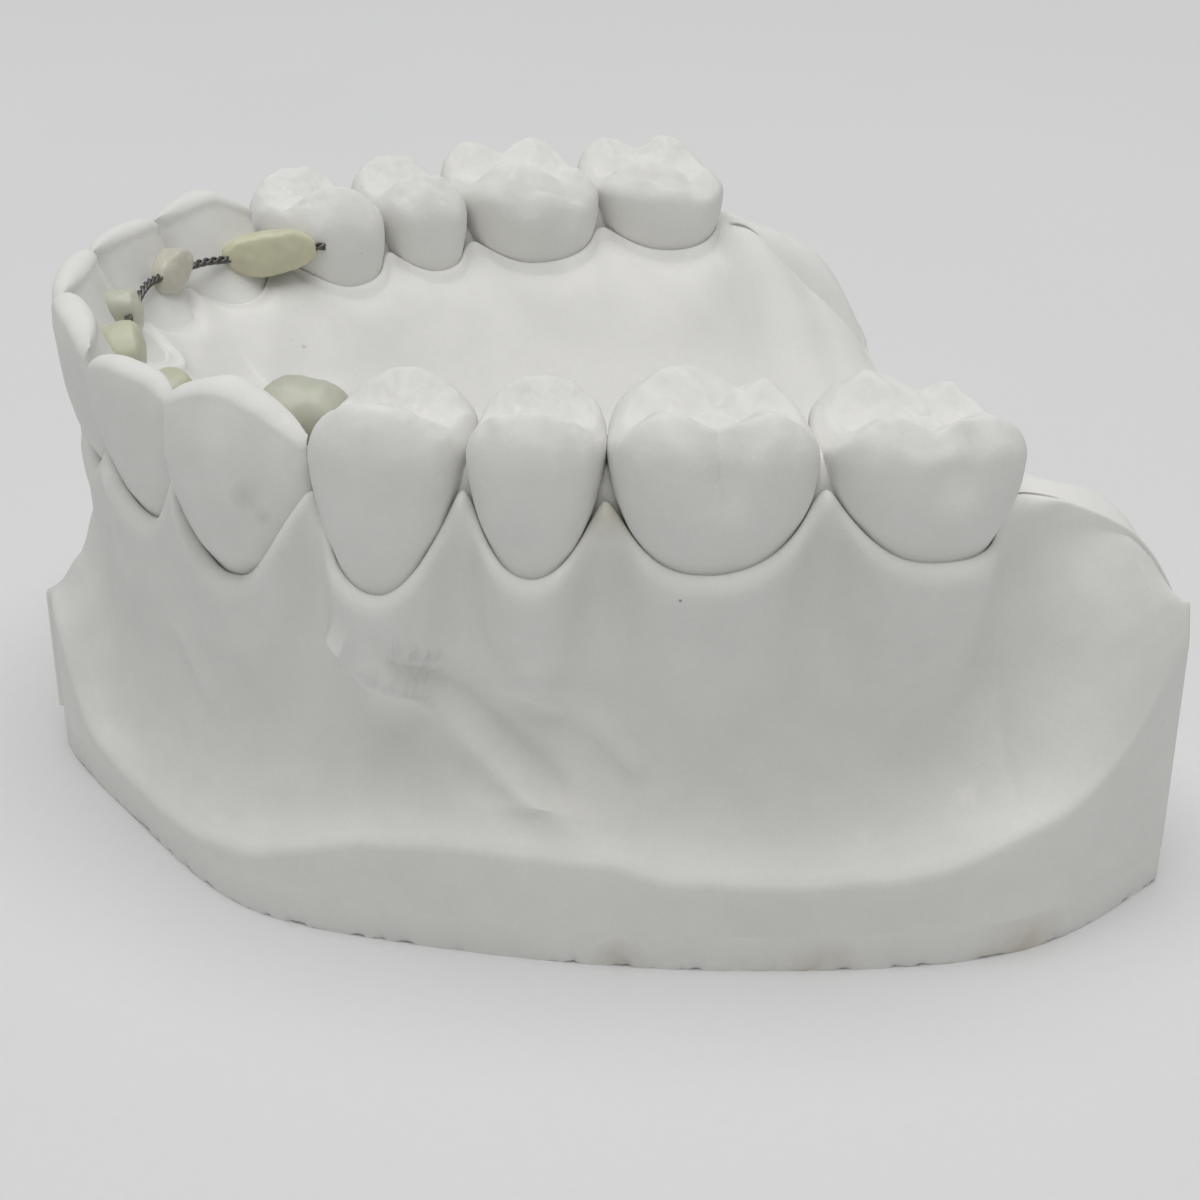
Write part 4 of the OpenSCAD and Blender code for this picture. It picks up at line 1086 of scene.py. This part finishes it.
strand_tree = twist_tree()
socket_of = {item.name: item.identifier for item in strand_tree.interface.items_tree
             if item.item_type == "SOCKET" and item.in_out == "INPUT"}
for k in range(3):
    path = bpy.data.curves.new("strand_path", "CURVE")
    path.dimensions = "3D"
    spline = path.splines.new("POLY")
    spline.points.add(len(wire_path) - 1)
    spots = np.column_stack([wire_path * MM, np.ones(len(wire_path))])
    spline.points.foreach_set("co", spots.ravel())
    carrier = bpy.data.objects.new("strand_path", path)
    bpy.context.scene.collection.objects.link(carrier)
    maker = carrier.modifiers.new("twist", "NODES")
    maker.node_group = strand_tree
    maker[socket_of["Pitch"]] = TWIST_PITCH * MM
    maker[socket_of["Twist Radius"]] = HELIX_R * MM
    maker[socket_of["Strand Radius"]] = STRAND_D / 2 * MM
    maker[socket_of["Phase"]] = k / 3
    maker[socket_of["Finish"]] = steel.material
    ready = carrier.evaluated_get(bpy.context.evaluated_depsgraph_get())
    strand_mesh = bpy.data.meshes.new_from_object(ready)
    bpy.data.objects.remove(carrier)
    bpy.data.curves.remove(path)
    skin = bmesh.new()
    skin.from_mesh(strand_mesh)
    bmesh.ops.remove_doubles(skin, verts=skin.verts, dist=1e-7)
    bmesh.ops.recalc_face_normals(skin, faces=skin.faces)
    skin.to_mesh(strand_mesh)
    skin.free()
    strand_mesh.shade_smooth()
    strand_mesh.set_sharp_from_angle(angle=math.radians(50))
    strand = bpy.data.objects.new("wire_strand_" + str(k + 1), strand_mesh)
    strand_mesh.name = strand.name
    bpy.context.scene.collection.objects.link(strand)
    steel.wear(strand)
    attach(strand, "root")
    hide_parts("retainer_strand_" + str(k + 1))


# ---------------------------------------------------------------------------------------
# Bonding pads. Drops of tooth-coloured filling resin laid over the wire on each front tooth
# and cured there: uneven domes, glossier than the plaster, from sand to grey-green.
PAD_AROUND = 48
PAD_STEPS = 34
PAD_DEPTH = 2.4


def pad_resin(name, light, shade, seed):
    resin = Finish(name)
    place = resin.place()
    clouds = resin.uneven(place, 2.4, 2.0, 0.5, seed)
    streaks = resin.uneven(place, 0.6, 3.0, 0.6, seed + 2)
    grain = resin.uneven(place, 0.12, 2.0, 0.6, seed + 4)
    # Pointiness paints the resin's ridges paler and its creases darker: painted highlight and painted shade,
    # on top of the cloudy and streaky tone.
    tone = (clouds - 0.5) * 1.6 + 0.5 + (streaks - 0.5) * 0.7 + (resin.edges() - 0.5) * 1.5
    resin.surface({"Base Color": resin.mixed(tone.limited(), shade, light),
                   "Normal": resin.bump(0.35, 0.06 * MM, streaks * 0.7 + grain * 0.3),
                   "Roughness": 0.42 + (grain - 0.5) * 0.3, "Subsurface Weight": 0.3,
                   "Subsurface Radius": (0.6, 0.45, 0.3), "Subsurface Scale": 0.6 * MM,
                   "Coat Weight": 0.18 + (clouds - 0.5) * 0.2, "Coat Roughness": 0.25})
    return resin


SAND = ((0.66, 0.65, 0.45, 1), (0.56, 0.55, 0.41, 1))
CLAY = ((0.62, 0.61, 0.52, 1), (0.52, 0.50, 0.42, 1))
SAGE = ((0.59, 0.60, 0.50, 1), (0.48, 0.49, 0.40, 1))
OLIVE = ((0.60, 0.60, 0.46, 1), (0.49, 0.50, 0.37, 1))
mid_1 = (CONTACTS[0] + CONTACTS[1]) / 2
mid_2 = (CONTACTS[1] + CONTACTS[2]) / 2
# Node, signed place on the wire, half length, half height, raised by, thickness over the wire,
# lean of the ends, sharpness of the ends and colours
PADS = [("left_canine_pad", -CANINE_PAD_S - 0.3, 2.95, 1.38, 0.0, 0.45, 0.1, 0.55, SAND),
        ("left_lateral_pad", -mid_2 * 1.04 - 1.2, 1.95, 1.2, 0.0, 0.4, -0.5, 0.5, CLAY),
        ("left_central_pad", -mid_1 * 0.95 - 0.8, 1.8, 1.4, 0.0, 0.4, 0.1, 0.5, SAGE),
        ("right_central_pad", mid_1 * 0.95, 2.5, 1.5, 0.1, 0.45, 0.2, 0.6, OLIVE),
        ("right_lateral_pad", mid_2 * 1.04, 1.8, 1.35, 0.0, 0.4, 0.1, 0.55, OLIVE),
        ("right_canine_pad", CANINE_PAD_S, 2.5, 1.7, 0.45, 0.5, -0.4, 0.65, SAGE)]
for n, (node, centre_s, half, tall, raised, thick, lean, point, colours) in enumerate(PADS):
    rings = []
    for t in np.linspace(-0.998, 0.998, PAD_STEPS):
        s = centre_s + half * t
        w = on_wire(s)
        ahead = on_wire(s + 0.3) - on_wire(s - 0.3)
        ahead /= np.linalg.norm(ahead)
        out = np.array([ahead[1], -ahead[0], 0])
        size = (1 - abs(t) ** 2.2) ** point
        a = -2 * math.pi * np.arange(PAD_AROUND) / PAD_AROUND
        depth = np.where(np.cos(a) > 0, PAD_DEPTH, thick + BUNDLE_R)
        ring = (w + out * (np.cos(a) * depth * size)[:, None]
                + np.array([0, 0, 1]) * (np.sin(a) * tall * size)[:, None])
        ring[:, 2] += lean * t + raised * size
        lumps = ripple(ring + n * 13, 1.5) * 0.16 * size
        ring = ring + out * (-np.abs(np.cos(a)) * lumps)[:, None]
        ring[:, 2] += np.sin(a) * lumps
        rings.append(ring)
    blob = close_rings("resin_" + node, rings)
    pad_resin("cured_resin_" + node, colours[0], colours[1], 3.0 * n).wear(blob)
    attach(blob, "root")
    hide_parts(node)


# ---------------------------------------------------------------------------------------
# Table, light and camera: a plain pale table under broad soft light from above.
floor_mesh = bpy.data.meshes.new("table")
corners = [(-1.5, -1.5, 0), (1.5, -1.5, 0), (1.5, 1.5, 0), (-1.5, 1.5, 0)]
floor_mesh.from_pydata(corners, [], [(0, 1, 2, 3)])
table = bpy.data.objects.new("table", floor_mesh)
bpy.context.scene.collection.objects.link(table)
paper = Finish("pale_table")
place = paper.place()
clouds = paper.uneven(place, 60, 3.0, 0.5, 1.0)
fibres = paper.uneven(place, 0.8, 3.0, 0.6, 2.0)
colour = paper.mixed((0.5 + (clouds - 0.5) * 0.6 + (fibres - 0.5) * 0.5).limited(),
                     (0.70, 0.705, 0.71, 1), (0.75, 0.755, 0.76, 1))
paper.surface({"Base Color": colour, "Normal": paper.bump(0.15, 0.1 * MM, fibres),
               "Roughness": 0.85 + (fibres - 0.5) * 0.1, "Specular IOR Level": 0.15})
paper.wear(table)

world = bpy.data.worlds.new("studio")
bpy.context.scene.world = world
world.use_nodes = True
world.node_tree.nodes["Background"].inputs["Color"].default_value = (1.0, 1.0, 1.0, 1)
world.node_tree.nodes["Background"].inputs["Strength"].default_value = 0.32
bpy.context.scene.view_settings.view_transform = "Standard"


def soft_light(name, spot, aim, size, power):
    lamp = bpy.data.lights.new(name, "AREA")
    lamp.shape = "DISK"
    lamp.size = size
    lamp.energy = power
    lamp.color = (1.0, 0.995, 0.985)
    holder = bpy.data.objects.new(name, lamp)
    bpy.context.scene.collection.objects.link(holder)
    holder.location = spot
    holder.rotation_euler = (Vector(aim) - Vector(spot)).to_track_quat("-Z", "Y").to_euler()


soft_light("overhead", (0.08, -0.05, 1.5), (0.0, 0.0, 0.0), 1.6, 16.5)

CAMERA_SPOT = (0.111547, -0.020121, 0.058119)
CAMERA_TURN = -0.216
CAMERA_DOWN = 0.430
CAMERA_ROLL = 0.004
forward = Vector((-math.cos(CAMERA_TURN) * math.cos(CAMERA_DOWN),
                  -math.sin(CAMERA_TURN) * math.cos(CAMERA_DOWN), -math.sin(CAMERA_DOWN)))
right = forward.cross(Vector((0, 0, 1))).normalized()
upward = right.cross(forward)
rolled_right = right * math.cos(CAMERA_ROLL) + upward * math.sin(CAMERA_ROLL)
rolled_up = upward * math.cos(CAMERA_ROLL) - right * math.sin(CAMERA_ROLL)
lens = bpy.data.cameras.new("camera")
lens.sensor_width = 36
lens.lens = 61.83
lens.clip_start = 0.005
viewer = bpy.data.objects.new("camera", lens)
bpy.context.scene.collection.objects.link(viewer)
frame_axes = Matrix((rolled_right, rolled_up, -forward)).transposed().to_4x4()
viewer.matrix_world = Matrix.Translation(Vector(CAMERA_SPOT)) @ frame_axes
bpy.context.scene.camera = viewer
